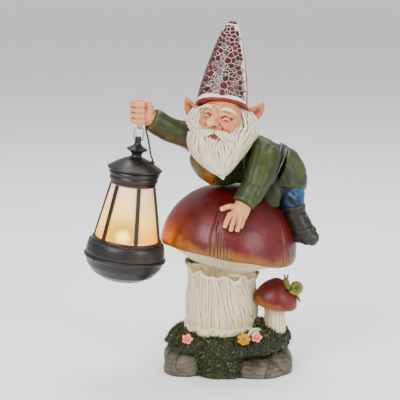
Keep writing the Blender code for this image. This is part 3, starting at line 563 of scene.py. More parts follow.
# ---------------------------------------------------------------- the ground
# The base's boulders: (x, y, z, half size along x, y, z)
ROCK_LUMPS = [(-48, -23, 5, 24, 24, 22), (-59, 2, 7, 13.5, 24, 16), (-48, 28, 6, 21, 19, 16),
              (-14, 41, 5, 27, 14.5, 15), (24, 39, 6, 26, 15, 16), (50, 25, 7, 22, 18, 16),
              (59.5, -3, 7, 13.2, 22, 17), (30, -34, 3, 30, 20, 18), (47, -24, 5, 23, 20, 18),
              (0, 0, 6, 64, 48, 15)]


def make_rocks():
    rocks = mould("rocks", [ball((x, y, z), (rx, ry, rz), None, 40) for x, y, z, rx, ry, rz in ROCK_LUMPS],
                  1.0, 3)
    co = places(rocks)
    strata = np.sin(co[:, 2] * 1.5 + 5 * fbm(co, 30, 2, 3))
    amount = (1.5 * fbm(co, 20, 2, 1) + 0.12 * fbm(co, 4, 3, 2) + 0.07 * strata
              - 0.7 * (1 - np.abs(fbm(co, 24, 3, 8))) ** 8)
    push(rocks, amount)
    co = places(rocks)
    co[:, 2] = np.maximum(co[:, 2], 0)
    margin = 0.2
    limit = np.array([GROUND_X - margin, GROUND_Y - margin])
    co[:, :2] = np.clip(co[:, :2], -limit, limit)
    put(rocks, co)
    measure_hollows(rocks, 14, 0.5)
    damp = patches(co, 16, 5, 0.1, 0.6)
    moss = ramp(co[:, 2] + 6 * fbm(co, 9, 3, 6), 19, 26)
    # The last layer darkens the very bottom, where the rocks meet the floor: painted shade.
    paint(rocks, srgb(90, 84, 75), (damp, srgb(68, 62, 54)),
          (patches(co, 10, 9, 0.2, 0.9) * 0.5, srgb(112, 104, 92)), (moss * 0.8, srgb(66, 74, 42)),
          (ramp(co[:, 2], 3, 0), srgb(60, 52, 44)))
    finish(rocks, resin("rock", srgb(44, 38, 30), 0.8, srgb(168, 160, 146), 0.3, 9.0, 0.14, 0.5, 0.7, 0.25),
           "statue", "ground_rock")


def make_mound():
    """The turf's soil, which spills over the rocks at the front left and rises to the small mushroom."""
    def spilling(a, r, z):
        front = np.exp(-((a - math.radians(258)) / 0.40) ** 4)
        pull = 1 - 0.16 * (1 - front) * ramp(-z, -27, -17)
        k = 1 + 0.022 * np.sin(7 * a) + 0.018 * np.sin(13 * a + 1)
        off = np.where(a > math.radians(150), a - math.radians(330), a + math.radians(30))
        bank = np.exp(-(off / np.where(off < 0, 0.36, 0.66)) ** 2) * ramp(z, 26, 34) * ramp(r, 26, 40)
        return r * k * pull * (1 + 0.05 * bank), z + BANK_H * bank
    profile = outline([(2, 47), (42, 46.5), (53, 44), (62, 38), (68, 29), (69, 20), (68.5, 8), (66, 0.6),
                       (2, 0.5)], 1.1)
    return lathe(profile, 300, Matrix.Diagonal((1, GROUND_Y / GROUND_X, 1, 1)), spilling)


def make_turf():
    mound = make_mound()
    turf = make("turf", mound)
    co = places(turf)
    above = ramp(co[:, 2], 0.8, 4)
    push(turf, above * (1.5 * fbm(co, 8, 3, 11) + 1.0 * fbm(co, 2.6, 3, 12)))
    co, no = places(turf), normals(turf)
    co[:, 2] = np.maximum(co[:, 2], 0.4)

    rng = np.random.default_rng(7)
    tops = np.flatnonzero((co[:, 2] > 2) & (no[:, 2] > -0.35))
    picks = rng.choice(tops, BLADES)
    shapes, tint = [(co, mound[1])], [np.tile(srgb(38, 44, 21), (len(co), 1))]
    greens = [srgb(58, 68, 34), srgb(84, 96, 48), srgb(112, 122, 70), srgb(142, 148, 102), srgb(92, 82, 52)]
    angles = round_angles(3)
    for i in picks:
        n = no[i]
        side = rng.normal(size=3)
        side -= n * (side @ n)
        side /= np.linalg.norm(side)
        length = rng.uniform(2.6, 5.6)
        lean = side * rng.uniform(0.5, 1.5) + np.array([0, 0, -0.45 if co[i, 2] < 38 else 0.1])
        path = [co[i] - n * 0.6, co[i] + (n * 0.55 + lean * 0.3) * length * 0.5,
                co[i] + (n * 0.5 + lean * 0.9) * length * 0.8]
        path = [np.array([*q[:2], max(q[2], 1.0)]) for q in path]
        cross = np.cross(n, side)
        wide = rng.uniform(0.34, 0.56)
        rings = [p + w * (np.outer(np.cos(angles), side) + np.outer(np.sin(angles), cross))
                 for p, w in zip(path, (wide, wide * 0.85, wide * 0.3))]
        shape = sweep(rings)
        shapes.append(shape)
        tint.append(np.tile(np.array(greens[rng.choice(5, p=[0.3, 0.3, 0.2, 0.1, 0.1])]), (len(shape[0]), 1)))
    bpy.data.objects.remove(turf)
    turf = make("turf", merge(*shapes))
    set_attribute(turf, "paint", np.vstack(tint), "FLOAT_COLOR")
    lift = np.zeros(len(turf.data.vertices))
    lift[:len(co)] = 0.4
    set_attribute(turf, "hollow", lift)
    finish(turf, resin("turf", srgb(30, 33, 14), 0.7, None, 0, 9.0, 0.35, 0.5, 0.7, 0.3), "statue",
           "ground_turf")


def make_flower(name, centre, radius, petals, colour, veins, heart, rows=1):
    """A bloom that faces the viewer and upwards: rows of cupped petals round an eye, on a short stalk."""
    place = at(centre) @ spin("X", 52)
    steps, sides = 9, 12
    b = round_angles(sides)
    shapes, tints = [], []
    for row in range(rows):
        for k in range(petals):
            turn = spin("Z", 360 * (k + 0.5 * row) / petals)
            size = radius * (1 - 0.35 * row)
            u = np.linspace(0, 1, steps)
            wide = size * 0.42 * np.sin(np.pi * (0.12 + 0.8 * u)) ** 0.8
            lift = 0.35 * size * u ** 2 + 0.25 * size * row
            rings = []
            for j in range(steps):
                rings.append(np.stack([np.full(sides, size * (0.12 + 0.88 * u[j])), wide[j] * np.cos(b),
                                       lift[j] + 0.38 * np.sin(b) * (1 - 0.5 * u[j])
                                       + 0.10 * np.abs(np.cos(b)) * wide[j]], 1))
            p, f = sweep(rings)
            shapes.append((moved(p, place @ turn), f))
            reach = np.clip(np.linalg.norm(p[:, :2], axis=1) / size, 0, 1)
            t = ramp(reach, 0.25, 0.75)[:, None]
            tints.append(np.array(veins) * (1 - t) + np.array(colour) * t)
    eye = ball((0, 0, 0), (radius * 0.27, radius * 0.27, radius * 0.2), None, 20)
    p = moved(eye[0], place @ at((0, 0, 0.25 * radius)))
    shapes.append((p, eye[1]))
    tints.append(np.tile(np.array(heart), (len(p), 1)))
    stalk = tube([tuple(Vector(centre) + Vector((0, 1.5, -6))),
                  tuple(Vector(centre) + Vector((0, 0.6, -2))), centre], 0.9, 8)
    shapes.append(stalk)
    tints.append(np.tile(srgb(70, 84, 40), (len(stalk[0]), 1)))
    flower = make(name, merge(*shapes))
    set_attribute(flower, "paint", np.vstack(tints), "FLOAT_COLOR")
    set_attribute(flower, "hollow", np.zeros(len(flower.data.vertices)))
    return flower


def make_flowers():
    petal = resin("petal_paint", srgb(150, 60, 60), 0.4, None, 0, 3.0, 0.15, 0.45, 0.5, 0.12)
    pink, deep, gold = srgb(240, 158, 162), srgb(205, 88, 100), srgb(232, 165, 60)
    finish(make_flower("bloom_pink_left", (-45.3, -37, 40.5), 6.2, 5, pink, deep, gold), petal, "statue",
           "flower_pink_left")
    finish(make_flower("bloom_pink_right", (30.5, -40, 43.5), 6.2, 5, pink, deep, gold), petal, "statue",
           "flower_pink_right")
    sunny = resin("sunny_paint", srgb(150, 100, 8), 0.4, None, 0, 3.0, 0.12, 0.45, 0.5, 0.12)
    finish(make_flower("bloom_yellow", (16.5, -44, 42.3), 7.2, 7, srgb(196, 162, 0), srgb(172, 122, 0),
                       srgb(184, 104, 16), 2), sunny, "statue", "flower_yellow")
    blade = spline([(25.5, -34, 36, 1.6, 1.0), (24.4, -36.5, 44, 3.6, 1.1), (27, -38.5, 50, 3.8, 1.1),
                    (32, -39.5, 52.6, 2.2, 0.9), (35, -39, 51.6, 0.7, 0.5)], 1.0)
    leaf = mould("leaf_curl", [limb(blade, (0, 1, 0), (0.5, 0.5), 24)], 0.4, 3)
    co = places(leaf)
    rib = stroke(co, blade[:, :3] + (0, -1, 0), 0.9)
    push(leaf, -0.5 * rib)
    measure_hollows(leaf, 8, 0.25)
    paint(leaf, srgb(196, 204, 178), (rib, srgb(96, 112, 66)), (ramp(co[:, 2], 45, 38), srgb(118, 130, 88)))
    finish(leaf, resin("leaf_paint", srgb(60, 74, 40), 0.7, srgb(226, 226, 204), 0.5, 4.0, 0.2, 0.5),
           "statue", "leaf")


# ---------------------------------------------------------------- the mushrooms
CREAM, CREAM_DARK = srgb(216, 206, 180), srgb(176, 158, 122)


def clear_battery_bay(obj):
    """Sink what would cover the battery box in the stem's back."""
    side_gap, end_cover, floor = 0.4, 0.2, 0.6
    low, high = (np.array(corner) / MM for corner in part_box("battery_box"))
    front = at(((low[0] + high[0]) / 2, low[1], (low[2] + high[2]) / 2)) @ spin("X", -90)
    sink(obj, front, (high[0] - low[0]) / 2 - side_gap, (high[2] - low[2]) / 2 + end_cover, floor)


def make_stem():
    """The fluted trunk, with a ragged hem of paint where it meets the turf."""
    profile = outline([(36, 37), (40.5, 43), (40.8, 50), (39.8, 55), (40.3, 64), (40, 78), (38.0, 92),
                       (37.0, 102), (37.4, 108.5), (36.2, 110.6), (33.4, 110.2), (31, 114), (29, 125)], 0.9)

    def fluted(a, r, z):
        lean = 0.5 * ramp(np.cos(a + 0.5), -0.1, 0.9) * np.clip((z - 45) / 65, 0, 1) ** 1.5
        phase = a + lean
        streaks = [fbm(np.stack([np.cos(phase) * 40, np.sin(phase) * 40, z * slow], -1), size, 2,
                       seed).reshape(a.shape) for size, slow, seed in ((5.0, 0.12, 21), (2.6, 0.10, 23))]
        coarse, fine = (np.exp(-(streak / 0.17) ** 2) for streak in streaks)
        depth = ramp(z, 47, 57) * (1 - 0.5 * ramp(z, 105, 109))
        scallop = 1 - np.abs(np.sin(a * 4.5 + 0.8)) + 0.25 * np.sin(a * 13 + 1)
        top = ramp(z, 96, 104) * (1 - ramp(z, 111, 118))
        z = z + top * (-4.5 * np.cos(a) + 5.0 * (scallop - 0.4))
        r = r + depth * (0.6 - 1.25 * coarse - 0.6 * fine) + top * 0.5
        return r, z
    stem = make("stem", lathe(profile, 560, at((STEM_X, 0, 0)), fluted))
    a = np.linspace(0, 2 * np.pi, 420, endpoint=False)
    radius = 41.6 + 1.1 * np.sin(9 * a + 1) + 0.7 * np.sin(23 * a)
    height = 48.8 + 1.9 * np.sin(13 * a) + 1.5 * np.sin(21 * a + 2) + 0.8 * np.sin(37 * a)
    hem = tube(np.stack([STEM_X + radius * np.cos(a), radius * np.sin(a), height], 1), 0.75, 10, True)
    inner = tube(np.stack([STEM_X + (radius - 1.3) * np.cos(a), (radius - 1.3) * np.sin(a), height + 1.1],
                          1), 1.1, 10, True)
    points, faces = merge((places(stem), [list(p.vertices) for p in stem.data.polygons]), hem, inner)
    bpy.data.objects.remove(stem)
    stem = make("stem", (points, faces))
    measure_hollows(stem, 10, 0.45)
    clear_battery_bay(stem)
    co = places(stem)
    blotch = patches(co * (1, 1, 0.4), 12, 22, 0.0, 0.7)
    low = ramp(co[:, 2], 72, 47)
    shade = ramp(co[:, 2] + 0.12 * (co[:, 0] - STEM_X), 111, 116)
    # The last layer browns the right side, towards the small mushroom: painted shadow between the two stems.
    paint(stem, CREAM, (blotch * 0.5, srgb(196, 184, 152)), (low * 0.55, srgb(206, 190, 148)),
          (shade * 0.8, CREAM_DARK), (ramp(co[:, 0], 12, 38) * 0.35, srgb(178, 158, 116)))
    finish(stem, resin("stem_paint", srgb(124, 104, 70), 0.75, srgb(236, 230, 210), 0.5, 8.0, 0.14, 0.45,
                       0.8, 0.2, stretch=(1, 1, 0.35)), "statue", "mushroom_stem")


def make_ring():
    """The torn skirt under the gills."""
    profile = outline([(31, 101), (34, 101), (35.8, 106), (38.8, 112), (38.6, 113.4), (37.2, 112.6),
                       (33.8, 108), (31, 104)], 0.5)

    def torn(a, r, z):
        tip = (2.2 * np.exp(-((np.mod(a + 0.25, 2 * np.pi) - 0.25) / 0.22) ** 2)
               + 2.2 * np.exp(-((a - np.pi) / 0.24) ** 2))
        rag = 1.2 * np.sin(7 * a) + 0.9 * np.sin(11 * a + 1) + 0.7 * np.sin(23 * a + 2)
        up = ramp(z, 101, 112)
        fibre = np.sin(a * 74 + 2 * np.sin(5 * a)) + 0.6 * np.sin(a * 131)
        front, back = np.maximum(0, -np.sin(a)) ** 2, np.maximum(0, np.sin(a)) ** 2
        rise = (-6.8 * np.cos(a) + 10.5 * front + back + 0.8 * rag) * ramp(z, 101, 107)
        return r + up * (0.4 * rag + tip) + 0.36 * fibre * (0.4 + up), z + rise
    ring = make("torn_ring", lathe(profile, 900, at((STEM_X, 0, 0)), torn, True))
    clear_battery_bay(ring)
    measure_hollows(ring, 8, 0.28)
    co = places(ring)
    edge = ramp(np.abs(co[:, 0] - STEM_X), 33, 38)
    paint(ring, srgb(190, 174, 140), (patches(co, 7, 31, -0.2, 0.6) * 0.6, srgb(158, 138, 102)),
          (edge * 0.7, srgb(190, 180, 146)))
    finish(ring, resin("ring_paint", srgb(92, 72, 46), 0.8, srgb(214, 204, 176), 0.5, 5.0, 0.25, 0.5),
           "statue", "stem_collar")


def cap_frame():
    return at(CAP_AT) @ spin("Y", CAP_ROLL) @ spin("X", CAP_PITCH)


def drooped(a, r, z):
    """Heights of the cap's underside and rim, which sag most at the front right."""
    off = (np.degrees(a) - 322 + 180) % 360 - 180
    share = np.where(z <= 2.5, (np.minimum(r, 70) / 70) ** 3, np.maximum(0, 1 - (z - 2.5) / 40))
    return z - 6.5 * np.exp(-(off / 40) ** 2) * share


def make_gills():
    """The cap's underside: thin blades from the stem out to the rim."""
    profile = outline([(33, -27), (34, -22), (38, -18.4), (54, -9.8), (66, -3.6), (70.4, -1.4),
                       (70.6, 0.4), (68, 1.4)], 1.0)
    profile = np.vstack([[(1, -27)], profile, [(1, 1.4)]])

    def blades(a, r, z):
        under = ramp(r, 30, 36) * (1 - ramp(z, -1.5, 0.5))
        wave = np.abs(np.sin(a * 62 + 0.6 * np.sin(a * 9))) ** 0.7 + 0.35 * np.abs(np.sin(a * 131))
        return r, drooped(a, r, z) - under * (1.5 * wave - 0.8)
    gills = make("gills", lathe(profile, 1100, cap_frame(), blades))
    measure_hollows(gills, 6, 0.3)
    co = places(gills)
    # near: darker towards the stem, deep under the cap, is painted shade.
    near = ramp(np.hypot(co[:, 0] - STEM_X, co[:, 1]), 50, 34)
    paint(gills, srgb(214, 206, 184), (near * 0.5, srgb(186, 172, 140)),
          (ramp(fbm(co, 14, 2, 41), 0, 0.6) * 0.3, srgb(192, 180, 150)))
    finish(gills, resin("gill_paint", srgb(122, 108, 82), 0.75, srgb(228, 224, 208), 0.4, 8.0, 0.12, 0.5),
           "statue", "mushroom_gills")


# The cap's cracks: degrees round the rim at the bottom and at the top, degrees up at the top, depth, width
CAP_CRACKS = [(252.5, 250, 50, 1.5, 0.9), (256.5, 255, 40, 1.2, 0.8), (259.5, 256, 30, 1.5, 1.0),
              (262, 259.5, 22, 1.2, 0.8), (264.5, 262, 17, 1.0, 0.7), (267.5, 267, 12, 0.8, 0.7),
              (270.5, 270, 9, 0.7, 0.6), (323, 320, 36, 1.5, 1.0), (326, 325, 22, 1.2, 0.8),
              (329, 329, 15, 1.0, 0.7), (320, 319, 11, 0.8, 0.6), (196, 199, 20, 0.9, 0.8),
              (20, 16, 30, 1.3, 0.9), (25, 22, 17, 1.0, 0.8), (75, 79, 35, 1.3, 0.9),
              (81, 82, 20, 1.1, 0.8), (133, 128, 28, 1.2, 0.9)]


def panel_frame():
    """Frame of the solar tray's face in the back of the cap, as the cap's ellipsoid gives it."""
    azimuth, rise = math.radians(90 + PANEL_TURN), math.radians(PANEL_RISE)
    out = Vector((math.cos(azimuth) * math.cos(rise), math.sin(azimuth) * math.cos(rise), math.sin(rise)))
    across = Vector((0, 0, 1)).cross(out).normalized()
    axes = Matrix((across, out.cross(across), out)).transposed().to_4x4()
    reach = math.sqrt(CAP_R ** 2 * (out.x ** 2 + out.y ** 2) + CAP_H ** 2 * out.z ** 2)
    foot = Vector((CAP_R ** 2 * out.x, CAP_R ** 2 * out.y, CAP_H ** 2 * out.z)) / reach
    return at(CAP_AT + foot - out * PANEL_IN) @ axes


def make_cap():
    """The big dome: cracked, red on top and wearing to brown along the rim."""
    dome = [(CAP_R * math.cos(t), CAP_H * math.sin(t))
            for t in (math.radians(4 + 85.4 * k / 150) for k in range(151))]
    lip = outline([(67, 1.9), (70.4, 0.6), (72.4, -2.3), (74.2, -2.2), (75.4, 0.6), (CAP_R + 0.1, 4)], 0.5)
    profile = np.vstack([[(1, 2)], lip[:-1], dome])

    def cracked(a, r, z):
        up = np.degrees(np.arctan2(z / CAP_H, np.maximum(r, 1e-3) / CAP_R))
        deg = np.degrees(a)
        outer = ramp(r, 60, 72) + ramp(z, 4, 10)
        dent = np.zeros_like(a)
        for low, high, reach, depth, width in CAP_CRACKS:
            t = np.clip(up / reach, 0, 1)
            middle = low + (high - low) * t + 0.4 * np.sin(up * 0.22 + low) + 0.15 * np.sin(up * 0.7)
            off = (np.mod(deg - middle + 180, 360) - 180) * np.radians(1) * CAP_R * np.cos(np.radians(up))
            fade = (1 - ramp(up, reach * 0.55, reach)) * ramp(up, -6, 1)
            dent += depth * np.exp(-(off / width) ** 2) * fade
        points = np.stack([r * np.cos(a), r * np.sin(a), z], -1).reshape(-1, 3)
        swell = 0.55 * fbm(points, 38, 2, 51).reshape(a.shape) + 0.12 * fbm(points, 6, 3, 52).reshape(a.shape)
        wave = 0.5 * np.sin(5 * a + 0.5) + 0.35 * np.sin(9 * a)
        rim = (1 - ramp(up, 2, 12)) * outer.clip(0, 1)
        keep = 1 - ramp(r, 30, 0) * 0.5
        k = 1 + (swell * keep * ramp(z, 0, 12) - dent) / CAP_R
        return r * np.where(outer > 0.2, k, 1), drooped(a, r, z) + z * np.where(z > 6, k - 1, 0) + rim * wave
    cap = make("cap", lathe(profile, 620, cap_frame(), cracked))
    measure_hollows(cap, 14, 0.55)
    sink(cap, panel_frame(), PANEL_SEAT / 2, PANEL_SEAT / 2, PANEL_WELL)
    co = places(cap)
    local = moved(co, cap_frame().inverted())
    angle, reach = np.arctan2(local[:, 1], local[:, 0]), np.hypot(local[:, 0], local[:, 1])
    up = np.degrees(np.arctan2((2 * local[:, 2] - drooped(angle, reach, local[:, 2])) / CAP_H, reach / CAP_R))
    drift = fbm(co, 16, 3, 53)
    rim = ramp(up + 3.5 * drift, 8.5, 1.5)
    deg = np.degrees(np.arctan2(local[:, 1], local[:, 0])) % 360
    scuffed = np.zeros(len(co))
    for low, high, reach, depth, width in CAP_CRACKS:
        off = np.abs((deg - low + 180) % 360 - 180)
        scuffed += 0.55 * np.exp(-(off / 1.5) ** 2) * ramp(up + 5 * fbm(co, 5, 3, 54), reach * 0.5, 2)
    deep = patches(co * (1, 1, 1.6), 24, 55, -0.1, 0.7)
    # crown: darker towards the top, round the seated gnome, is painted shade.
    crown_shade = ramp(up, 40, 75)
    paint(cap, srgb(100, 28, 29), (deep * 0.75, srgb(76, 19, 20)), (crown_shade * 0.6, srgb(66, 18, 18)),
          (patches(co, 20, 56, 0.2, 0.8) * 0.4, srgb(122, 46, 45)),
          (rim * 0.93, srgb(138, 96, 42)), (scuffed.clip(0, 0.8), srgb(142, 108, 68)),
          # Yellow low on the left, facing the lantern: ochre paint with painted lantern light on it.
          (ramp(np.abs(deg - 196), 26, 10) * ramp(up + 5 * drift, 24, 8) * 0.85, srgb(158, 106, 24)),
          (ramp(up + 2 * drift, 0.5, -2.5) * 0.7, srgb(108, 74, 36)))
    finish(cap, resin("cap_paint", srgb(46, 16, 12), 0.85, srgb(176, 96, 84), 0.15, 15.0, 0.16, 0.4, 1.1,
                      0.08, 0.12), "statue", "mushroom_cap")


def make_small_stalk():
    def fluted(a, r, z):
        wander = fbm(np.stack([np.cos(a) * 14, np.sin(a) * 14, z * 0.25], -1), 8, 2, 61).reshape(a.shape)
        ridges = 0.9 * (np.abs(np.sin(a * 8 + 0.7 * wander)) ** 0.7 - 0.6)
        return r + ridges + 0.3 * np.sin(a * 29 + wander), z
    stalk = make("small_stalk", lathe(outline([(15, 36), (15.2, 44), (14.6, 56), (14, 66), (14.2, 75)], 0.7),
                                      240, at((SMALL_AT.x - 3.5, SMALL_AT.y, 0)), fluted))
    co = places(stalk)
    slim, middle, new_middle = 0.8, (48.2, -18), (51.2, -18)
    co[:, :2] = (co[:, :2] - middle) * slim + new_middle
    put(stalk, co)
    measure_hollows(stalk, 9, 0.3)
    co = places(stalk)
    # Darker on the side towards the big stem and at the top under the small cap: painted shade.
    paint(stalk, CREAM, (ramp(co[:, 0], 52, 42) * 0.75, srgb(142, 118, 74)),
          (ramp(co[:, 2], 62, 73) * 0.5, srgb(150, 132, 94)))
    finish(stalk, resin("stalk_paint", srgb(112, 92, 58), 0.7, srgb(238, 232, 214), 0.5, 6.0, 0.15, 0.45),
           "statue", "small_stem")


def make_small_cap():
    """The small mushroom's dome and its shallow underside."""
    place = at(SMALL_AT) @ spin("Y", SMALL_ROLL)
    dome = [(SMALL_R * math.cos(t), SMALL_H * math.sin(t))
            for t in (math.radians(3 + 86.3 * k / 60) for k in range(61))]
    under = outline([(9.5, -5.6), (14, -4.6), (20, -2.2), (21.9, -0.6), (22.5, 1.5)], 0.5)

    def lumpy(a, r, z):
        p = np.stack([r * np.cos(a), r * np.sin(a), z], -1).reshape(-1, 3)
        swell = 0.5 * fbm(p, 15, 2, 62).reshape(a.shape) + 0.1 * fbm(p, 3, 2, 63).reshape(a.shape)
        gill = np.where(z < -1.2, 0.3 * np.sin(a * 46), 0)
        return r * (1 + swell * 0.02 * ramp(z, 0, 8)), z + swell * ramp(z, 2, 10) * 0.7 + gill
    top = make("small_top", lathe(np.vstack([[(1, -5.6)], under[:-1], dome]), 300, place, lumpy))
    co = places(top)
    across, height = co[:, 0] - 53.5, ramp(co[:, 2], 78, 98)
    co[:, 0] -= 3.2 * height * ramp(across, -8, 12) + 2.2 * ramp(across, -4, -18)
    co[:, 0] += 1.4 * ramp(across, 8, 20) * (1 - height)
    put(top, co)
    measure_hollows(top, 12, 0.4)
    co = places(top)
    local = moved(co, place.inverted())
    up = np.degrees(np.arctan2(local[:, 2] / SMALL_H, np.hypot(local[:, 0], local[:, 1]) / SMALL_R))
    rim = ramp(up + 5 * fbm(co, 8, 3, 64) + 10 * ramp(local[:, 0], -8, 15), 13, 7)
    paint(top, srgb(104, 29, 31), (patches(co, 10, 65, -0.1, 0.6) * 0.7, srgb(76, 18, 20)),
          (ramp(local[:, 0], 4, 18) * ramp(up, 60, 20) * 0.45, srgb(142, 58, 58)),
          (rim * 0.95, srgb(128, 84, 36)), (ramp(up, -1, -5), srgb(160, 134, 92)))
    finish(top, resin("small_cap_paint", srgb(48, 18, 14), 0.8, srgb(180, 100, 88), 0.15, 8.0, 0.18, 0.42,
                      1.0, 0.1, 0.06), "statue", "small_cap")


def make_snail():
    """The snail on the small mushroom: foot with two eye stalks, and a coiled shell."""
    foot = limb([(78.6, -20, 79.0, 1.5, 1.1), (76.0, -21, 84.6, 3.0, 1.7), (72.0, -22, 91.0, 3.6, 2.2),
                 (67.6, -23.6, 94.4, 3.8, 3.0), (64.6, -25, 97.0, 3.8, 3.6),
                 (63.2, -25.6, 101.6, 3.4, 3.3), (62.6, -25.8, 105.6, 3.0, 3.0)], caps=(0.5, 0.8),
                sides=24)
    shapes = [foot]
    for side in (-1, 1):
        tip = (62.8 + 1.9 * side, -26.6, 110.2)
        shapes += [tube([(62.7 + 0.9 * side, -26, 104.8), (62.8 + 1.4 * side, -26.4, 108), tip], 1.0, 10),
                   ball(tip, (1.35, 1.35, 1.35), None, 16)]
    snail = mould("snail_foot", shapes, 0.38, 2)
    co = places(snail)
    push(snail, 0.14 * np.sin(co[:, 0] * 2.2 + co[:, 2] * 2.6))
    measure_hollows(snail, 8, 0.2)
    eye = ramp(co[:, 2], 109.0, 109.6)
    paint(snail, srgb(98, 104, 42), (patches(co, 3, 71, -0.1, 0.5) * 0.6, srgb(66, 72, 26)),
          (eye, srgb(30, 27, 18)))
    green = resin("snail_paint", srgb(36, 40, 14), 0.9, srgb(180, 182, 116), 0.4, 3.0, 0.2, 0.36, 0.7, 0.15)
    finish(snail, green, "statue", "snail_body")

    turns, count = 2.4, 260
    t = np.linspace(0.02, 1, count)
    a = -2 * np.pi * turns * t + 3.6 + 2 * np.pi * turns
    reach = 6.4 * t ** 1.15
    wide = 0.55 + 2.5 * t
    centre = np.stack([reach * np.cos(a), -2.4 * (1 - t), reach * np.sin(a)], 1)
    whorl = tube(centre, wide, 28)
    points = whorl[0] * (1, 1.5, 1)
    disc = ball((0, 1.2, 0), (6.8, 3.2, 6.8), None, 32)
    place = at((73.8, -26.2, 96.8)) @ spin("Z", 8)
    shell = make("snail_whorl", merge((moved(points, place), whorl[1]), (moved(disc[0], place), disc[1])))
    measure_hollows(shell, 6, 0.35)
    co = places(shell)
    paint(shell, srgb(94, 101, 36), (patches(co, 4, 72, -0.1, 0.6) * 0.6, srgb(62, 68, 22)))
    finish(shell, green, "statue", "snail_shell")


# ---------------------------------------------------------------- the gnome's clothes
# The lightest coat colour is a painted highlight.
COAT, COAT_DARK, COAT_HIGHLIGHT = srgb(52, 62, 19), srgb(29, 34, 9), srgb(90, 104, 50)


def make_coat():
    """Chest, back and both sleeves as one casting, with the cloth's pulls and rings."""
    chest = ball((-8, -12, 238), (34.2, 28.2, 30.2), None, 72)
    back = limb([(-6, -10, 239, 26, 26), (18, -5, 235, 27.5, 27), (34, -1, 231, 27, 26.5),
                 (*WAIST, WAIST_R, WAIST_R)], caps=(0.5, 0.05), sides=64)
    hump = ball((34, -6, 243), (16, 18, 13), spin("Y", 22), 40)
    raised = limb([(-20, -12, 250, 18, 17), (-28, -15, 256, 17.4, 16), (-42, -17, 262.5, 16, 15.5),
                   (-56, -22, 267.5, 14.2, 14), (-64, -26, 271, 13.5, 13.4),
                   (-82.5, -34, 283.5, 12.4, 12.4)], caps=(0.5, 0.12), sides=56)
    resting = limb([(30, -12, 249, 15, 15), (37, -24, 243, 18, 16.5), (33, -38, 228, 17, 16),
                    (24, -49, 211, 14.2, 14), (14, -57.5, 196, 13.0, 12.6)], caps=(0.6, 0.1), sides=56)
    coat = mould("coat", [chest, back, hump, raised, resting], 0.75, 9)
    co = places(coat)
    cloth = 1.1 * fbm(co, 17, 2, 81) + 0.2 * (1 - np.abs(fbm(co * (1, 1, 0.6), 12, 2, 82))) ** 3 - 0.1
    # folds: long pulls down the resting arm, rings at elbow and cuff, pulls along the raised arm
    pulls = 0
    for line, width, depth in (
            ([(52, -26, 246), (49, -38, 232), (40, -50, 214), (30, -60, 199)], 2.6, 1.7),
            ([(42, -36, 255), (38, -50, 236), (30, -60, 216), (22, -67, 203)], 2.4, -1.5),
            ([(32, -34, 256), (26, -50, 238), (20, -60, 222)], 2.2, -1.3),
            ([(47, -32, 252), (44, -46, 232), (34, -57, 212)], 1.8, 1.5),
            ([(22, -40, 240), (24, -54, 222), (16, -64, 206)], 2.2, 1.2),
            ([(14, -44, 222), (22, -58, 216), (33, -62, 214)], 1.8, -1.1),
            ([(12, -50, 214), (20, -62, 208), (32, -62, 208)], 1.6, 0.9),
            ([(6, -54, 206), (14, -66, 201), (27, -66, 200)], 1.5, -0.8),
            ([(-30, -30, 252), (-46, -34, 260), (-66, -40, 270)], 2.6, -1.3),
            ([(-34, -24, 247), (-50, -30, 252), (-68, -36, 262)], 2.4, 1.2),
            ([(-36, -30, 268), (-50, -36, 272), (-66, -38, 279)], 2.2, 1.0),
            ([(-52, -28, 283), (-55, -38, 274), (-56, -36, 262)], 2.0, -0.9),
            ([(8, -10, 268), (24, -14, 262), (40, -14, 256)], 3.0, -1.6),
            ([(30, 10, 258), (42, 0, 252), (52, -12, 246)], 2.6, 1.2),
            ([(38, 20, 250), (48, 12, 246), (60, 0, 240)], 2.0, -1.0)):
        pulls = pulls + depth * stroke(co, line, width)
    push(coat, cloth + 0.6 * pulls)
    co = places(coat)
    measure_hollows(coat, 30, 0.9)
    cuff_raised = (ramp(stroke(co, [(-80.5, -33, 282), (-80.6, -33.05, 282.1)], 14.5), 0.3, 0.5)
                   * ramp(co[:, 0], -79.5, -81))
    # beneath: painted warm lantern light on the coat below the raised arm.
    lantern_glow_under_arm = ramp(co[:, 2] - (262 + (co[:, 0] + 50) * -0.52), 6, -7) * ramp(co[:, 0], -26, -40)
    # light: painted highlights along the resting sleeve and on the right shoulder.
    light = np.zeros(len(co))
    for line, width in (([(43, -38, 254), (39, -52, 236), (30, -61, 217), (22, -68, 204)], 4.2),
                        ([(30, -36, 255), (26, -52, 238), (20, -60, 222)], 2.6),
                        ([(58, -14, 244), (66, -10, 236)], 5.0)):
        light += stroke(co, line, width)
    deep = patches(co, 15, 83, -0.1, 0.7)
    shade = ramp(stroke(co, [(6, -40, 236), (12, -44, 222), (10, -46, 210)], 13), 0.1, 0.8)
    # vest_edge_and_lantern_glow: ochre on the coat beside the waistcoat, part lapel colour and part painted
    # warm lantern light.
    vest_edge_and_lantern_glow = ramp(stroke(co, [(-38, -26, 246), (-36, -30, 232), (-26, -36, 218), (-14, -40, 211)], 6),
                     0.2, 0.8)
    paint(coat, COAT, (deep * 0.55, COAT_DARK), (light.clip(0, 1) * 0.28, COAT_HIGHLIGHT),
          (lantern_glow_under_arm * 0.75, srgb(86, 62, 20)), (shade * 0.6, srgb(38, 38, 10)),
          (vest_edge_and_lantern_glow * 0.6, srgb(120, 104, 40)), (cuff_raised * 0.7, srgb(96, 72, 44)))
    finish(coat, resin("coat_paint", srgb(22, 24, 7), 0.9, srgb(132, 146, 92), 0.14, 11.0, 0.18, 0.44,
                       1.0, 0.1, 0.05), "statue", "coat_chest", "raised_sleeve", "resting_sleeve")


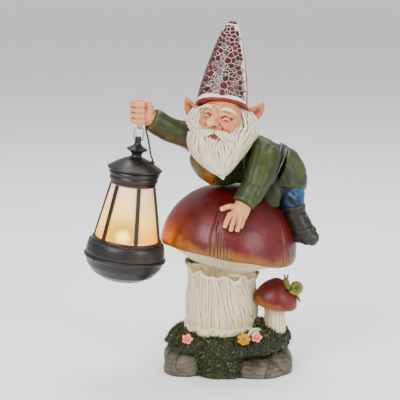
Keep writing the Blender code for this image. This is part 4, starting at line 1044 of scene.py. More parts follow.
def make_coat_tail():
    start = WAIST + WAIST_AXIS * 0.4
    skirt = limb([(*start, WAIST_R + 0.3, WAIST_R + 0.3), (54, 3, 222, 27.8, 27.9), (59, 4, 213, 28.3, 27.9),
                  (59, 1, 203, 27.3, 26.8)], caps=(0, 0.25), sides=72)
    flare = limb([(47, -10, 214, 16, 13), (45, -15, 204, 15, 10.5), (45, -18, 194, 12.5, 8),
                  (46, -20, 186, 9, 5)], (0, 1, 0), (0.3, 0.5), 40)
    tail = mould("coat_tail", [skirt, flare], 0.75, 9)
    co = places(tail)
    pleats = sum(depth * stroke(co, line, width)
                 for line, width, depth in (([(52, -22, 236), (60, -26, 222), (66, -26, 206)], 2.4, -1.2),
                                            ([(56, -12, 247), (68, -16, 234), (76, -16, 218)], 3.0, 1.6),
                                            ([(53, -26, 226), (58, -29, 212), (62, -27, 200)], 2.2, 1.0),
                                            ([(60, 2, 248), (74, 0, 236), (84, 2, 218)], 2.6, -1.0),
                                            ([(60, 20, 243), (72, 22, 230), (80, 20, 214)], 2.6, 1.2),
                                            ([(56, 28, 234), (66, 32, 222), (72, 30, 206)], 2.4, -1.2)))
    push(tail, pleats + 0.9 * fbm(co, 15, 2, 84))
    co = places(tail)
    measure_hollows(tail, 26, 0.8)
    # glow: a painted highlight on the skirt.
    glow = stroke(co, [(72, -12, 236), (80, -14, 224)], 6)
    paint(tail, COAT, (patches(co, 15, 85, -0.1, 0.7) * 0.5, COAT_DARK),
          (ramp(co[:, 2], 216, 196) * 0.55, srgb(44, 46, 14)), (glow * 0.55, COAT_HIGHLIGHT))
    finish(tail, bpy.data.materials["coat_paint"], "statue", "coat_skirt")


def make_belt():
    place = at(WAIST) @ WAIST_AXIS.to_track_quat("Z", "Y").to_matrix().to_4x4()
    strap = [(25, -3.8), (27.2, -3.8), (28.3, -3.3), (28.5, -2.5), (28.1, -2.0), (28.1, 2.6), (28.5, 3.2),
             (28.3, 4.2), (27.2, 4.8), (25, 4.8)]
    belt = make("waist_belt", lathe(strap, 160, place, loop=True), 40)
    measure_hollows(belt, 2, 0.3)
    paint(belt, srgb(58, 60, 58))
    finish(belt, resin("belt_paint", srgb(24, 24, 24), 0.7, srgb(130, 132, 134), 0.4, 5.0, 0.3, 0.34),
           "statue", "belt")


def make_vest():
    az, el = np.meshgrid(np.linspace(math.radians(220), math.radians(259), 60),
                         np.linspace(math.radians(-62), math.radians(28), 60))
    edge_l = np.clip((az - math.radians(220)) / 0.12, 0, 1)
    edge_r = np.clip((math.radians(259) - az) / 0.12, 0, 1)
    proud = 0.9 * np.sqrt(np.clip(edge_l * edge_r, 0, 1)) + 0.35
    out = np.stack([np.cos(az) * np.cos(el), np.sin(az) * np.cos(el), np.sin(el)], -1)
    size = np.array([34.2, 28.2, 30.2])
    lap = 0.5 * fbm((out * size).reshape(-1, 3), 10, 2, 86).reshape(az.shape)
    outer = np.array([-8, -12, 238]) + out * (size + (proud + lap + 0.4)[..., None])
    inner = np.array([-8, -12, 238]) + out * (size - 1.5)
    rings = [np.concatenate([outer[i], inner[i][::-1]]) for i in range(60)]
    vest = make("vest", sweep(rings))
    measure_hollows(vest, 6, 0.4)
    co = places(vest)
    hem = ramp(np.abs(np.degrees(np.arctan2(co[:, 1] + 12, co[:, 0] + 8)) % 360 - 256), 7, 2)
    paint(vest, srgb(128, 88, 22), (patches(co, 8, 87, -0.1, 0.6) * 0.5, srgb(110, 64, 14)),
          (hem * 0.85, srgb(78, 46, 16)), (ramp(co[:, 0], -21, -28) * 0.85, srgb(82, 80, 30)))
    finish(vest, resin("vest_paint", srgb(70, 36, 8), 0.8, srgb(222, 170, 70), 0.3, 6.0, 0.25, 0.46),
           "statue", "waistcoat")


def make_button():
    place = at((-16.7, -35.2, 217.0)) @ spin("X", 118) @ spin("Y", 12)
    disc = make("button_disc", lathe([(0.1, -1), (2.3, -1), (2.9, -0.2), (2.9, 0.9), (2.4, 1.5),
                                      (1.9, 1.2), (1.2, 1.0), (0.1, 1.0)], 48, place))
    measure_hollows(disc, 3, 0.2)
    paint(disc, srgb(84, 34, 14))
    finish(disc, resin("button_paint", srgb(30, 12, 6), 0.8, srgb(150, 90, 50), 0.5, 2.0, 0.3, 0.35),
           "statue", "button")


def make_legs():
    """Two trouser legs and two boots that hang over the cap's right side."""
    # Of these two blues, the lighter is the lit side and the darker the painted shade.
    blue, trouser_shade = srgb(56, 112, 148), srgb(22, 30, 54)
    cloth = resin("trouser_paint", srgb(20, 28, 52), 0.85, srgb(126, 176, 206), 0.5, 8.0, 0.3, 0.38)
    hide = resin("boot_paint", srgb(14, 13, 12), 0.8, srgb(120, 114, 106), 0.28, 7.0, 0.3, 0.34, 0.9, 0.2)
    for name, y in (("near", -9.0), ("far", 21.0)):
        leg = limb([(58, y + 2, 209, 14, 14), (66.6, y + 1, 200, 15.2, 14.4), (68.4, y, 190, 14.8, 13.6),
                    (70, y - 1, 180, 12.8, 12.6)], (0, 1, 0), (0.4, 0.1), 56)
        trouser = mould("leg_" + name, [leg], 0.7, 6)
        co = places(trouser)
        folds = sum(depth * stroke(co, line, width)
                    for line, width, depth in (([(70, y - 14, 208), (80, y - 15, 200), (90, y - 8, 192)],
                                                2.0, -1.1), ([(66, y - 14, 200), (76, y - 15, 192),
                                                              (88, y - 9, 185)], 2.0, 1.0),
                                               ([(64, y - 13, 194), (74, y - 14, 186), (86, y - 9, 180)],
                                                1.8, -1.0), ([(86, y - 8, 204), (91, y - 2, 192),
                                                              (88, y, 182)], 2.2, 0.9)))
        push(trouser, folds + 0.7 * fbm(co, 10, 2, 91))
        measure_hollows(trouser, 20, 0.7)
        co = places(trouser)
        # lit: the painted lit side; the rest, and the bottom inside the boot top, is painted shade.
        lit = ramp(co[:, 0] + 0.4 * (co[:, 2] - 190), 74, 86)
        paint(trouser, trouser_shade, (lit, blue), (ramp(co[:, 2], 181, 177) * 0.6, trouser_shade))
        finish(trouser, cloth, "statue", "trouser_" + name)

        parts = [limb([(70.3, y - 1.8, 184.5, 13.8, 13.8), (71.6, y - 2, 178, 13, 13),
                       (74, y - 2.6, 171, 12.2, 12.2), (79, y - 3.5, 160, 12.7, 12.2),
                       (86, y - 5.5, 152.5, 11.2, 10.4), (92.5, y - 6.5, 149, 8.2, 7.6)], (0, 1, 0),
                      (0.1, 0.85), 56), ball((77.5, y - 4, 152.5), (9.8, 9.8, 9), None, 40)]
        boot = mould("boot_hide_" + name, parts, 0.65, 6)
        co = places(boot)
        creases = sum(depth * stroke(co, line, width)
                      for line, width, depth in (([(66, y - 9, 168), (76, y - 13, 166),
                                                   (87, y - 10, 170)], 1.3, -1.1),
                                                 ([(68, y - 11, 163), (78, y - 15, 161),
                                                   (91, y - 11, 164)], 1.3, -1.0),
                                                 ([(66, y - 8, 175), (76, y - 12, 174), (87, y - 8, 177)],
                                                  1.6, 0.7),
                                                 ([(84, y - 14, 158), (94, y - 8, 160)], 1.3, -0.9),
                                                 ([(70, y - 14, 147.5), (84, y - 16, 145),
                                                   (98, y - 10, 143.5)], 1.1, -0.9)))
        push(boot, creases + 0.5 * fbm(co, 9, 2, 92))
        measure_hollows(boot, 14, 0.5)
        co = places(boot)
        # The lighter stroke over the toe is a painted highlight.
        paint(boot, srgb(44, 41, 38), (patches(co, 9, 93, 0, 0.6) * 0.6, srgb(30, 28, 26)),
              (stroke(co, [(86, y - 16, 158), (92, y - 14, 153)], 4) * 0.4, srgb(86, 82, 76)))
        finish(boot, hide, "statue", "boot_" + name)


# ---------------------------------------------------------------- skin, face and hair
# The darkest skin colour is painted shade, in sockets and creases and under the cuffs.
SKIN, SKIN_SHADE, BLUSH = srgb(204, 155, 119), srgb(164, 106, 74), srgb(196, 100, 78)


def skin_paint(name):
    if name in bpy.data.materials:
        return bpy.data.materials[name]
    return resin(name, srgb(116, 60, 36), 0.9, srgb(240, 212, 184), 0.25, 9.0, 0.12, 0.4, 0.9, 0.08, 0.08)


def face_frame():
    return at(HEAD_AT) @ spin("Y", HEAD_ROLL) @ spin("Z", HEAD_YAW)


def make_face():
    """Head with brow, cheeks and nose; closed smiling eyes are carved and painted."""
    place = face_frame()

    def lump(centre, radii, tilt=0.0, sides=40):
        p, f = ball(centre, radii, spin("Y", tilt), sides)
        return moved(p, place), f

    def round_eye(s, *points):
        """A line by the left (s = -1) or right (1) eye, from points given outwards from the nose."""
        return [(0.8 + s * (x + 1.6), z) for x, z in points]
    parts = [lump((0, 0, 0), (21.8, 20.8, 26), sides=72)]
    for s in (-1, 1):
        parts += [lump((0.6 + s * 12.4, -12.8, -3.6), (8.2, 7.6, 6.6)),
                  lump((-2.4 + s * 4.6, -20.4, -2.4), (3.3, 3.8, 3.1)),
                  lump((1 + s * 10.4, -15.4, 14.4), (7.6, 3.4, 2.8), s * 12),
                  lump((0.8 + s * 11, -16.0, 5.0), (5.0, 2.8, 3.2)), lump((s * 16.5, -8, -2), (5, 8, 8))]
    parts += [lump((-2.6, -23.6, -0.6), (5.8, 6.8, 6.0)), lump((-0.8, -19.8, 6), (3.4, 4.2, 8), -14),
              lump((2, -16, -14), (9, 6, 7))]
    head = mould("face", parts, 0.5, 7)
    co = places(head)
    local = moved(co, place.inverted())
    flat, front = local[:, [0, 2]], ramp(local[:, 1], -4, -9)
    carve = np.zeros(len(co))
    eyes, lid_highlights = np.zeros(len(co)), np.zeros(len(co))
    for s in (-1, 1):
        arc = round_eye(s, (4.2, 4.0), (6.4, 6.2), (9.2, 7.0), (12, 6.0), (14, 4.0))
        eyes += stroke(flat, arc, 0.95)
        carve -= 1.5 * stroke(flat, arc, 1.0)
        carve += 0.7 * stroke(flat, round_eye(s, (5, 8.6), (9, 9.6), (12.6, 8.2)), 1.3)
        carve += 0.6 * stroke(flat, round_eye(s, (5.6, 3.0), (9, 4.6), (12.4, 3.2)), 1.2)
        carve -= 0.7 * stroke(flat, round_eye(s, (4.6, 0.8), (8.6, 2.0), (13, 1.0)), 0.9)
        carve -= 0.7 * stroke(flat, [(0.8 + s * 17, 5.4), (0.8 + s * 20, 7.2)], 0.7)
        carve -= 1.0 * stroke(flat, [(-2.2 + s * 7.6, -1.6), (-1.0 + s * 9, -6), (s * 11, -10.4)], 1.0)
        carve -= 0.9 * stroke(flat, [(-2.4 + s * 2.2, -6.0), (-2.4 + s * 3.4, -5.8)], 0.9)
        # lids: painted highlights on the lids above the eyes.
        lid_highlights += stroke(flat, round_eye(s, (5, 8.4), (9, 9.4), (12.4, 7.8)), 1.5)
    for h in (17.4, 19.4):
        carve -= 0.4 * stroke(flat, [(-12, h - 0.6), (-4, h + 0.4), (4, h + 0.2), (12, h - 0.8)], 0.7)
    push(head, carve * front)
    measure_hollows(head, 12, 0.5)
    flush = np.zeros(len(co))
    for s in (-1, 1):
        flush += np.exp(-(((local[:, 0] - 0.6 - s * 15.4) / 6) ** 2 + ((local[:, 2] + 3.0) / 4.6) ** 2))
    # tip: a painted highlight on the nose; socket: painted shade beside the bridge of the nose.
    tip = (np.exp(-(((local[:, 0] + 2.6) / 5) ** 2 + ((local[:, 2] + 1.0) / 4) ** 2))
           * ramp(local[:, 1], -23, -28))
    socket = sum(np.exp(-(((local[:, 0] - 0.4 - s * 6.4) / 3.0) ** 2 + ((local[:, 2] - 5) / 4) ** 2))
                 for s in (-1, 1))
    paint(head, SKIN, (flush * front * 0.65, BLUSH), (tip * 0.7, srgb(226, 190, 158)),
          (socket * front * 0.6, SKIN_SHADE), (lid_highlights * front * 0.35, srgb(238, 208, 180)),
          (eyes.clip(0, 1) * front, srgb(36, 17, 11)))
    finish(head, skin_paint("skin"), "statue", "head")


def make_mouth():
    place = face_frame()
    lens = ball((0, 0, 0), (5.2, 1.8, 2.7), None, 32)
    p = lens[0].copy()
    p[:, 2] *= 1 - 0.45 * (np.abs(p[:, 0]) / 5.0)
    p[:, 2] += 0.05 * p[:, 0] ** 2
    mouth = make("mouth", (moved(p, place @ at((3.0, -24.8, -16.2)) @ spin("X", 12)), lens[1]))
    measure_hollows(mouth, 2, 0.3)
    local = moved(places(mouth), place.inverted())
    paint(mouth, srgb(110, 28, 24), (ramp(local[:, 2], -17.0, -18.0), srgb(206, 120, 104)))
    finish(mouth, skin_paint("skin"), "statue", "head")


def make_ears():
    left = [(-24, -20, 284, 4.4, 5.2), (-33, -18.5, 286.2, 4.6, 8.0), (-39.5, -16.4, 290.4, 4.4, 8.4),
            (-43.5, -15, 297, 3.2, 5.8), (-46, -14, 304.5, 1.0, 1.2)]
    right = [(8, -26, 283, 4.4, 5.2), (19, -21, 284.6, 4.6, 7.8), (26.5, -17, 287, 4.6, 8.4),
             (32, -14, 291, 3.6, 6.6), (37.5, -11.5, 298.5, 1.0, 1.2)]
    for name, stations, s in (("left", left, -1), ("right", right, 1)):
        ear = mould("ear_" + name + "_flesh", [limb(stations, (0, 0, 1), (0.6, 0.8), 48, 0.8)], 0.45, 5)
        co = places(ear)
        s0 = np.array(stations)[:, :3]
        cup = stroke(co, s0[1:4] + (0, -5, -0.5), 3.6)
        ridge = stroke(co, s0[1:] + (s * 0.5, -3, 5.0), 1.4)
        push(ear, -2.2 * cup + 0.4 * ridge + 0.2 * fbm(co, 6, 2, 101))
        measure_hollows(ear, 14, 0.6)
        # Painted shade in the ear's hollow and on its side towards the head.
        paint(ear, srgb(190, 130, 92), (cup * 0.9, srgb(116, 48, 32)),
              (ramp(co[:, 2], 286, 279) * 0.5, BLUSH),
              (ramp(s * co[:, 0], 30, 20) * 0.3 if s > 0 else ramp(-co[:, 0], 34, 26) * 0.3, SKIN_SHADE))
        finish(ear, skin_paint("skin"), "statue", "ear_" + name)


def locks(paths, radius, sides=10):
    """Tapered strands; each path is a list of points."""
    made = []
    for k, path in enumerate(paths):
        p = spline(path, 1.6)
        t = np.linspace(0, 1, len(p))
        swell = 0.18 + 0.82 * np.sin(np.pi * np.clip(t * 0.86 + 0.1, 0, 1)) ** 0.7
        made.append(tube(p, radius * swell * (0.85 + 0.3 * ((k * 7) % 5) / 5), sides))
    return made


# The beard from chin to tip: (x, y, z, half width, half thickness)
BEARD = [(-8.5, -30, 271, 35, 18.6), (-10, -35, 260, 33, 18.6), (-11.5, -39, 250, 28, 16.6),
         (-11.8, -43, 240, 19.6, 12.6), (-9.8, -47, 230.5, 10, 7.5), (-8.2, -49, 225.5, 4.5, 4)]
WHITE, WHITE_DARK = srgb(215, 207, 185), srgb(172, 160, 130)


def make_beard(rng):
    rows = spline(BEARD, 0.5)
    front = np.array([0, -0.92, 0.38])

    def on_beard(angle, v, out=0.0):
        i = np.clip(v, 0, 1) * (len(rows) - 1)
        row = np.array([np.interp(i, np.arange(len(rows)), rows[:, k]) for k in range(5)])
        return (row[:3] + np.array([1, 0, 0]) * (row[3] + out) * math.sin(angle)
                + front * (row[4] + out) * math.cos(angle))
    paths = []
    for k in range(BEARD_LOCKS):
        angle = math.radians(-108 + 216 * (k + rng.uniform(-0.25, 0.25)) / (BEARD_LOCKS - 1))
        start = (0.0, 0.42, 0.12, 0.3)[k % 4] + rng.uniform(-0.03, 0.05)
        end = min(1.0, start + rng.uniform(0.55, 0.75))
        phase, sway = 2.5 * math.sin(angle * 3) + rng.uniform(-0.6, 0.6), rng.uniform(0.05, 0.10)
        steps = np.linspace(start, end, 10)
        paths.append([on_beard(angle * (1 - 0.08 * v) + sway * math.sin(10 * v + phase), v,
                               0.2 + 0.9 * math.sin(3.1 * (v - start) / (end - start))) for v in steps])
    body = limb([(x, y, z, across - 1.0, thick - 1.0) for x, y, z, across, thick in BEARD], (0, -1, 0),
                (0.3, 1.0), 72)
    tip = [[(-12 + 2 * k, -49 - rng.uniform(0, 2.5), 236), (-9.6 + 0.9 * k, -51, 229),
            (-7.6 + 0.15 * k, -51 - 0.4 * k, 221.5)] for k in range(6)]
    beard = mould("beard_locks", [body] + locks(paths, 1.75) + locks(tip, 2.0), 0.48, 1)
    measure_hollows(beard, 8, 0.16)
    co = places(beard)
    whites = resin("hair_paint", srgb(84, 70, 48), 1.0, srgb(246, 242, 228), 0.35, 6.0, 0.1, 0.46, 0.7,
                   0.3, 0.0, (1, 1, 0.22))
    # The last layer warms the far left, facing the lantern: painted lantern light.
    paint(beard, WHITE, (patches(co * (1, 1, 0.5), 6, 111, 0, 0.6) * 0.4, WHITE_DARK),
          (ramp(co[:, 0], -34, -44) * 0.3, srgb(210, 190, 150)))
    finish(beard, whites, "statue", "beard")


def make_moustache():
    place = face_frame()
    wings = []
    for s in (-1, 1):
        for k in range(13):
            drop, wide = 1.0 * k - 5.5, 24 - 0.9 * abs(k - 5)
            start = place @ Vector((2.6 + s * 1.0, -25.2 + 0.15 * k, -9.2 - 0.3 * k))
            mid = place @ Vector((2 + s * 8.5, -23.8 - 0.1 * k, -11.2 - 0.42 * k + 0.1 * drop))
            far = place @ Vector((1 + s * 16, -18.8, -12.5 - 0.75 * k))
            end = place @ Vector((s * wide, -11 - 0.3 * k, -11.5 - 1.35 * k))
            wings.append([tuple(start), tuple(mid), tuple(far), tuple(end)])
    cores = []
    for s in (-1, 1):
        path = [place @ Vector(p) for p in ((2.6 + s * 1.5, -22.5, -10.6), (1.5 + s * 9, -21, -12.9),
                                            (1 + s * 18, -15.5, -15.5), (s * 24, -9, -17))]
        cores.append(limb([(*path[0], 2.2, 2.2), (*path[1], 3.7, 3.7), (*path[2], 4.0, 4.0),
                           (*path[3], 2.2, 2.2)], sides=24))
    moustache = mould("moustache", cores + locks(wings, 1.25, 8), 0.42, 1)
    measure_hollows(moustache, 8, 0.2)
    co = places(moustache)
    paint(moustache, WHITE, (patches(co, 5, 112, 0, 0.6) * 0.35, WHITE_DARK))
    finish(moustache, bpy.data.materials["hair_paint"], "statue", "beard")


def make_brows():
    place = face_frame()
    tufts = []
    for s in (-1, 1):
        for k in range(7):
            low = (place @ Vector((0.8 + s * (4.6 + 1.6 * k), -20.0 + 0.32 * k,
                                   11.8 + 0.55 * k - 0.08 * k * k)))
            mid = place @ Vector((0.8 + s * (6.8 + 1.7 * k), -20.2 + 0.4 * k, 14.0 + 0.45 * k - 0.12 * k * k))
            high = (place @ Vector((0.8 + s * (9.8 + 1.8 * k), -18.4 + 0.55 * k,
                                    15.4 + 0.1 * k - 0.17 * k * k)))
            tufts.append([tuple(low), tuple(mid), tuple(high)])
    brows = mould("brows", locks(tufts, 1.35, 8), 0.4, 1)
    measure_hollows(brows, 6, 0.35)
    paint(brows, WHITE)
    finish(brows, bpy.data.materials["hair_paint"], "statue", "head")


def make_hair(rng):
    centre, size = np.array([-7, -22, 275]), np.array([37.4, 20.8, 28.0])
    tilt = np.array(spin("Y", HEAD_ROLL).to_3x3())
    base = ball(tuple(centre), tuple(size - 1.5), spin("Y", HEAD_ROLL), 64)
    paths = []
    for k in range(HAIR_LOCKS):
        around = (math.radians(rng.uniform(48, 312)) if k > 60
                  else math.radians(rng.choice([-1, 1]) * rng.uniform(40, 100)))
        high, low = math.radians(rng.uniform(-5, 42)), math.radians(rng.uniform(-62, -30))
        phase, sway, out = rng.uniform(0, 6.28), rng.uniform(0.03, 0.09), rng.uniform(-0.4, 1.2)
        path = []
        for v in np.linspace(0, 1, 7):
            el = high + (low - high) * v
            a = around + sway * math.sin(5 * v + phase) * 1.4
            d = np.array([math.sin(a) * math.cos(el), -math.cos(a) * math.cos(el), math.sin(el)])
            path.append(centre + tilt @ (d * (size + out)))
        paths.append(path)
    hair = mould("hair_locks", [base] + locks(paths, 1.9), 0.52, 1)
    measure_hollows(hair, 8, 0.22)
    co = places(hair)
    paint(hair, WHITE, (patches(co, 6, 113, 0, 0.6) * 0.4, WHITE_DARK))
    finish(hair, bpy.data.materials["hair_paint"], "statue", "hair")


def make_raised_hand():
    wrist = limb([(-77, -32, 279.5, 8.2, 8.2), (-84, -33.4, 284.5, 9.4, 9.2),
                  (-90, -34.5, 288.5, 9.8, 9.4)], sides=40)
    fist = ball((-92, -34.5, 289.6), (10.4, 9.4, 11.6), spin("Y", 10), 48)
    thumb = limb([(-85.5, -38.6, 288, 4.2, 4.2), (-83.6, -40.2, 294.6, 3.9, 3.9),
                  (-85.8, -40.6, 300.4, 3.5, 3.5), (-89, -40, 302.4, 3.0, 3.0)], sides=28)
    fingers = [limb([(-91, -43.6, z - 1.0, 3.5, 3.6), (-98, -42.2, z - 0.6, 3.5, 3.8),
                     (-102.2, -37, z, 3.5, 3.8), (-100.6, -31, z + 0.5, 3.5, 3.8),
                     (-94, -28, z + 1, 3.5, 3.8)], sides=28) for z in (283.2, 289.0, 294.8, 300.4)]
    hand = mould("hand_raised", [wrist, fist, thumb] + fingers, 0.48, 4)
    co = places(hand)
    gaps = sum(stroke(co,
                      [(-90, -47.4, z - 1), (-99, -46, z - 0.6), (-106, -38, z), (-104, -30, z + 0.5)],
                      0.9) for z in (286.2, 292.0, 297.8))
    crook = stroke(co, [(-87.4, -44.4, 303), (-88.4, -45, 297), (-87.6, -45, 291)], 1.2)
    push(hand, -0.7 * gaps - 1.0 * crook + 0.15 * fbm(co, 5, 2, 121))
    measure_hollows(hand, 12, 0.5)
    # Painted shade in the crease by the thumb, between the fingers and at the wrist under the cuff.
    paint(hand, SKIN, (crook * 0.6, srgb(150, 86, 60)), (ramp(co[:, 0], -84, -78) * 0.55, SKIN_SHADE),
          (gaps * 0.25, SKIN_SHADE))
    finish(hand, skin_paint("skin"), "statue", "raised_hand")


def make_resting_hand():
    palm = limb([(19, -52, 203, 7.8, 7.8), (14, -58.6, 194.5, 9.2, 7.8), (10, -63.8, 187, 9.6, 6.2),
                 (8, -66, 182.5, 8.4, 4.6)], (0, -1, 0.6), sides=48)
    tips = [((0.6, -66, 187), (-3.0, -71.2, 180.5), (-5.0, -72.6, 175.4)),
            ((5.4, -68, 187), (2.6, -73.4, 178.5), (0.9, -74.8, 172.2)),
            ((11.2, -67.8, 186), (9.4, -72.8, 178), (7.6, -74.4, 171.6)),
            ((14.2, -63.5, 186), (13.0, -68, 179), (11.2, -70, 174.4)),
            ((8, -61.5, 193.6), (-0.5, -64.4, 195), (-8.6, -66, 192.8))]
    digits = [limb([(*p, 3.3 - 0.25 * i, 3.1 - 0.25 * i) for i, p in enumerate(path)], sides=28)
              for path in tips]
    hand = mould("hand_resting", [palm] + digits, 0.45, 3)
    co = places(hand)
    knuckles = sum(np.exp(-(np.linalg.norm(co - np.array(p[0]) - (0, -3, 1), axis=1) / 2.6) ** 2)
                   for p in tips[:4])
    gaps = sum(stroke(co, line, 1.0)
               for line in ([(2.2, -72, 186), (-1.6, -75, 173)], [(8.2, -73, 185), (4.4, -77, 170.5)],
                            [(12.8, -70, 184), (10.2, -73.5, 173.5)]))
    push(hand, 0.35 * knuckles - 1.1 * gaps)
    measure_hollows(hand, 12, 0.5)
    nails = sum(np.exp(-(np.linalg.norm(co - np.array(p[2]) - (0, -2.2, -0.6), axis=1) / 1.7) ** 2)
                for p in tips)
    # Painted shade between the fingers and at the top under the cuff.
    paint(hand, SKIN, (gaps.clip(0, 1) * 0.9, srgb(112, 58, 38)),
          (nails.clip(0, 1) * 0.4, srgb(240, 214, 190)), (ramp(co[:, 2], 199, 205) * 0.5, SKIN_SHADE))
    finish(hand, skin_paint("skin"), "statue", "resting_hand")


# ---------------------------------------------------------------- the hat
def hat_place():
    return at(HAT_AT) @ spin("Y", HAT_ROLL) @ spin("X", HAT_PITCH)


HAT_CURVE = outline(HAT_PROFILE, 0.8)


def hat_radius(z):
    return np.interp(z, HAT_CURVE[:, 1], HAT_CURVE[:, 0])


def hat_point(a, z, out):
    """A place on the hat: angle, height, and how far proud of its surface."""
    r = hat_radius(z) + out
    x, y = r * np.cos(a), r * np.sin(a)
    return np.stack([x, y, z - 0.24 * y * np.maximum(0, 1 - z / 60)], -1)


def clipped(polygon, point, normal):
    """The part of a convex polygon on the far side of a line."""
    kept = []
    for p, q in zip(polygon, polygon[1:] + polygon[:1]):
        dp, dq = (p - point) @ normal, (q - point) @ normal
        if dp >= 0:
            kept.append(p)
        if dp * dq < 0:
            kept.append(p + (q - p) * (dp / (dp - dq)))
    return kept


def area(polygon):
    p = np.array(polygon)
    return 0.5 * abs(np.dot(p[:, 0], np.roll(p[:, 1], 1)) - np.dot(p[:, 1], np.roll(p[:, 0], 1)))


def shattered(polygon, limit, rng):
    """Splits a tile by random straight breaks until each shard is small enough."""
    size = area(polygon)
    if size < limit * rng.uniform(0.6, 1.6) or len(polygon) < 3:
        return [polygon]
    centre = np.mean(polygon, 0) + rng.normal(size=2) * 0.12 * math.sqrt(size)
    turn = rng.uniform(0, math.pi)
    normal = np.array([math.cos(turn), math.sin(turn)])
    halves = [clipped(polygon, centre, normal), clipped(polygon, centre, -normal)]
    return [piece for half in halves if len(half) > 2 for piece in shattered(half, limit, rng)]


def inset(polygon, gap):
    """The polygon with each side moved in, or None when nothing is left."""
    result = list(polygon)
    centre = np.mean(polygon, 0)
    for p, q in zip(polygon, polygon[1:] + polygon[:1]):
        edge = q - p
        length = np.linalg.norm(edge)
        if length < 1e-6:
            continue
        normal = np.array([-edge[1], edge[0]]) / length
        if (centre - p) @ normal < 0:
            normal = -normal
        result = clipped(result, p + normal * gap, normal)
        if len(result) < 3:
            return None
    return result


def make_hat():
    place = hat_place()
    rows, sides = HAT_CURVE, 180
    a = round_angles(sides)
    rings = [hat_point(a, np.full(sides, z), 0.0) for r, z in rows[:-1]]
    points, faces = sweep(rings)
    cone = make("hat_cone", (moved(points, place), faces))
    co = places(cone)
    push(cone, 0.25 * fbm(co, 9, 3, 131))
    measure_hollows(cone, 10, 0.4)
    local = moved(places(cone), place.inverted())
    top = ramp(local[:, 2], 85.5, 87.5)
    paint(cone, srgb(140, 38, 44), (patches(co, 12, 132, 0, 0.6) * 0.6, srgb(104, 24, 28)),
          (top * 0.9, srgb(62, 26, 22)))
    red = resin("hat_paint", srgb(54, 14, 14), 0.8, srgb(186, 86, 80), 0.2, 9.0, 0.2, 0.34, 0.9, 0.15)
    finish(cone, red, "statue", "hat_shell")

    section = [(26.4, -1.6), (27.9, -1.5), (28.6, -0.6), (28.8, 0.4), (28.5, 1.4), (27.9, 2.2),
               (27.0, 2.5), (25.8, 2.4)]
    a = round_angles(220)
    rings = []
    for r, z in section:
        x, y = r * np.cos(a), r * np.sin(a)
        rings.append(np.stack([x, y, z - 0.24 * y * (1 - z / 60)], -1))
    points, faces = sweep(rings, True)
    brim = make("hat_band", (moved(points, place), faces))
    push(brim, 0.2 * fbm(places(brim), 7, 2, 133))
    measure_hollows(brim, 6, 0.4)
    paint(brim, srgb(96, 18, 22), (ramp(fbm(places(brim), 8, 3, 134), 0, 0.6) * 0.5, srgb(76, 12, 16)))
    finish(brim, red, "statue", "hat_brim")


# The mosaic's middle and half width round the hat, and its lower and upper edge
MOSAIC_MIDDLE, MOSAIC_HALF = math.radians(-90 + HEAD_YAW), math.radians(82)
MOSAIC_LOW, MOSAIC_HIGH = 2.6, 89.0


def mosaic_width(z):
    return hat_radius(z) * MOSAIC_HALF


def make_grout():
    place, columns = hat_place(), 150
    angles, heights = (np.linspace(MOSAIC_MIDDLE - MOSAIC_HALF, MOSAIC_MIDDLE + MOSAIC_HALF, columns),
                       np.linspace(MOSAIC_LOW, MOSAIC_HIGH, 120))
    grout_rows = []
    for z in heights:
        level = np.full(columns, z)
        outer, inner = hat_point(angles, level, 0.55), hat_point(angles[::-1], level, -1.0)
        grout_rows.append(np.concatenate([outer, inner]))
    points, faces = sweep(grout_rows)
    grout = make("hat_grout", (moved(points, place), faces))
    co = places(grout)
    push(grout, 0.18 * fbm(co, 2.5, 3, 135))
    measure_hollows(grout, 6, 0.3)
    paint(grout, srgb(232, 220, 208), (patches(co, 7, 136, 0.1, 0.7) * 0.5, srgb(204, 188, 174)))
    chalk = resin("grout_paint", srgb(168, 150, 134), 0.6, srgb(248, 242, 234), 0.4, 3.0, 0.1, 0.6, 0.5, 0.3)
    finish(grout, chalk, "statue", "hat_mosaic")


def tile_seeds(rng):
    """Scattered middles of the tiles, (round, up) in mm, wider apart at the bottom's middle."""
    seeds = []
    for _ in range(6000):
        z = rng.uniform(MOSAIC_LOW + 4, MOSAIC_HIGH - 1.5)
        wide = mosaic_width(z)
        s = np.array([rng.uniform(-1, 1) * (wide - 0.6), z])
        apart = 3.7 + 2.9 * (1 - abs(s[0]) / wide) * ramp(z, 80, 20)
        if all(np.linalg.norm(s - t) > apart * rng.uniform(0.85, 1.2) for t in seeds):
            seeds.append(s)
    return seeds


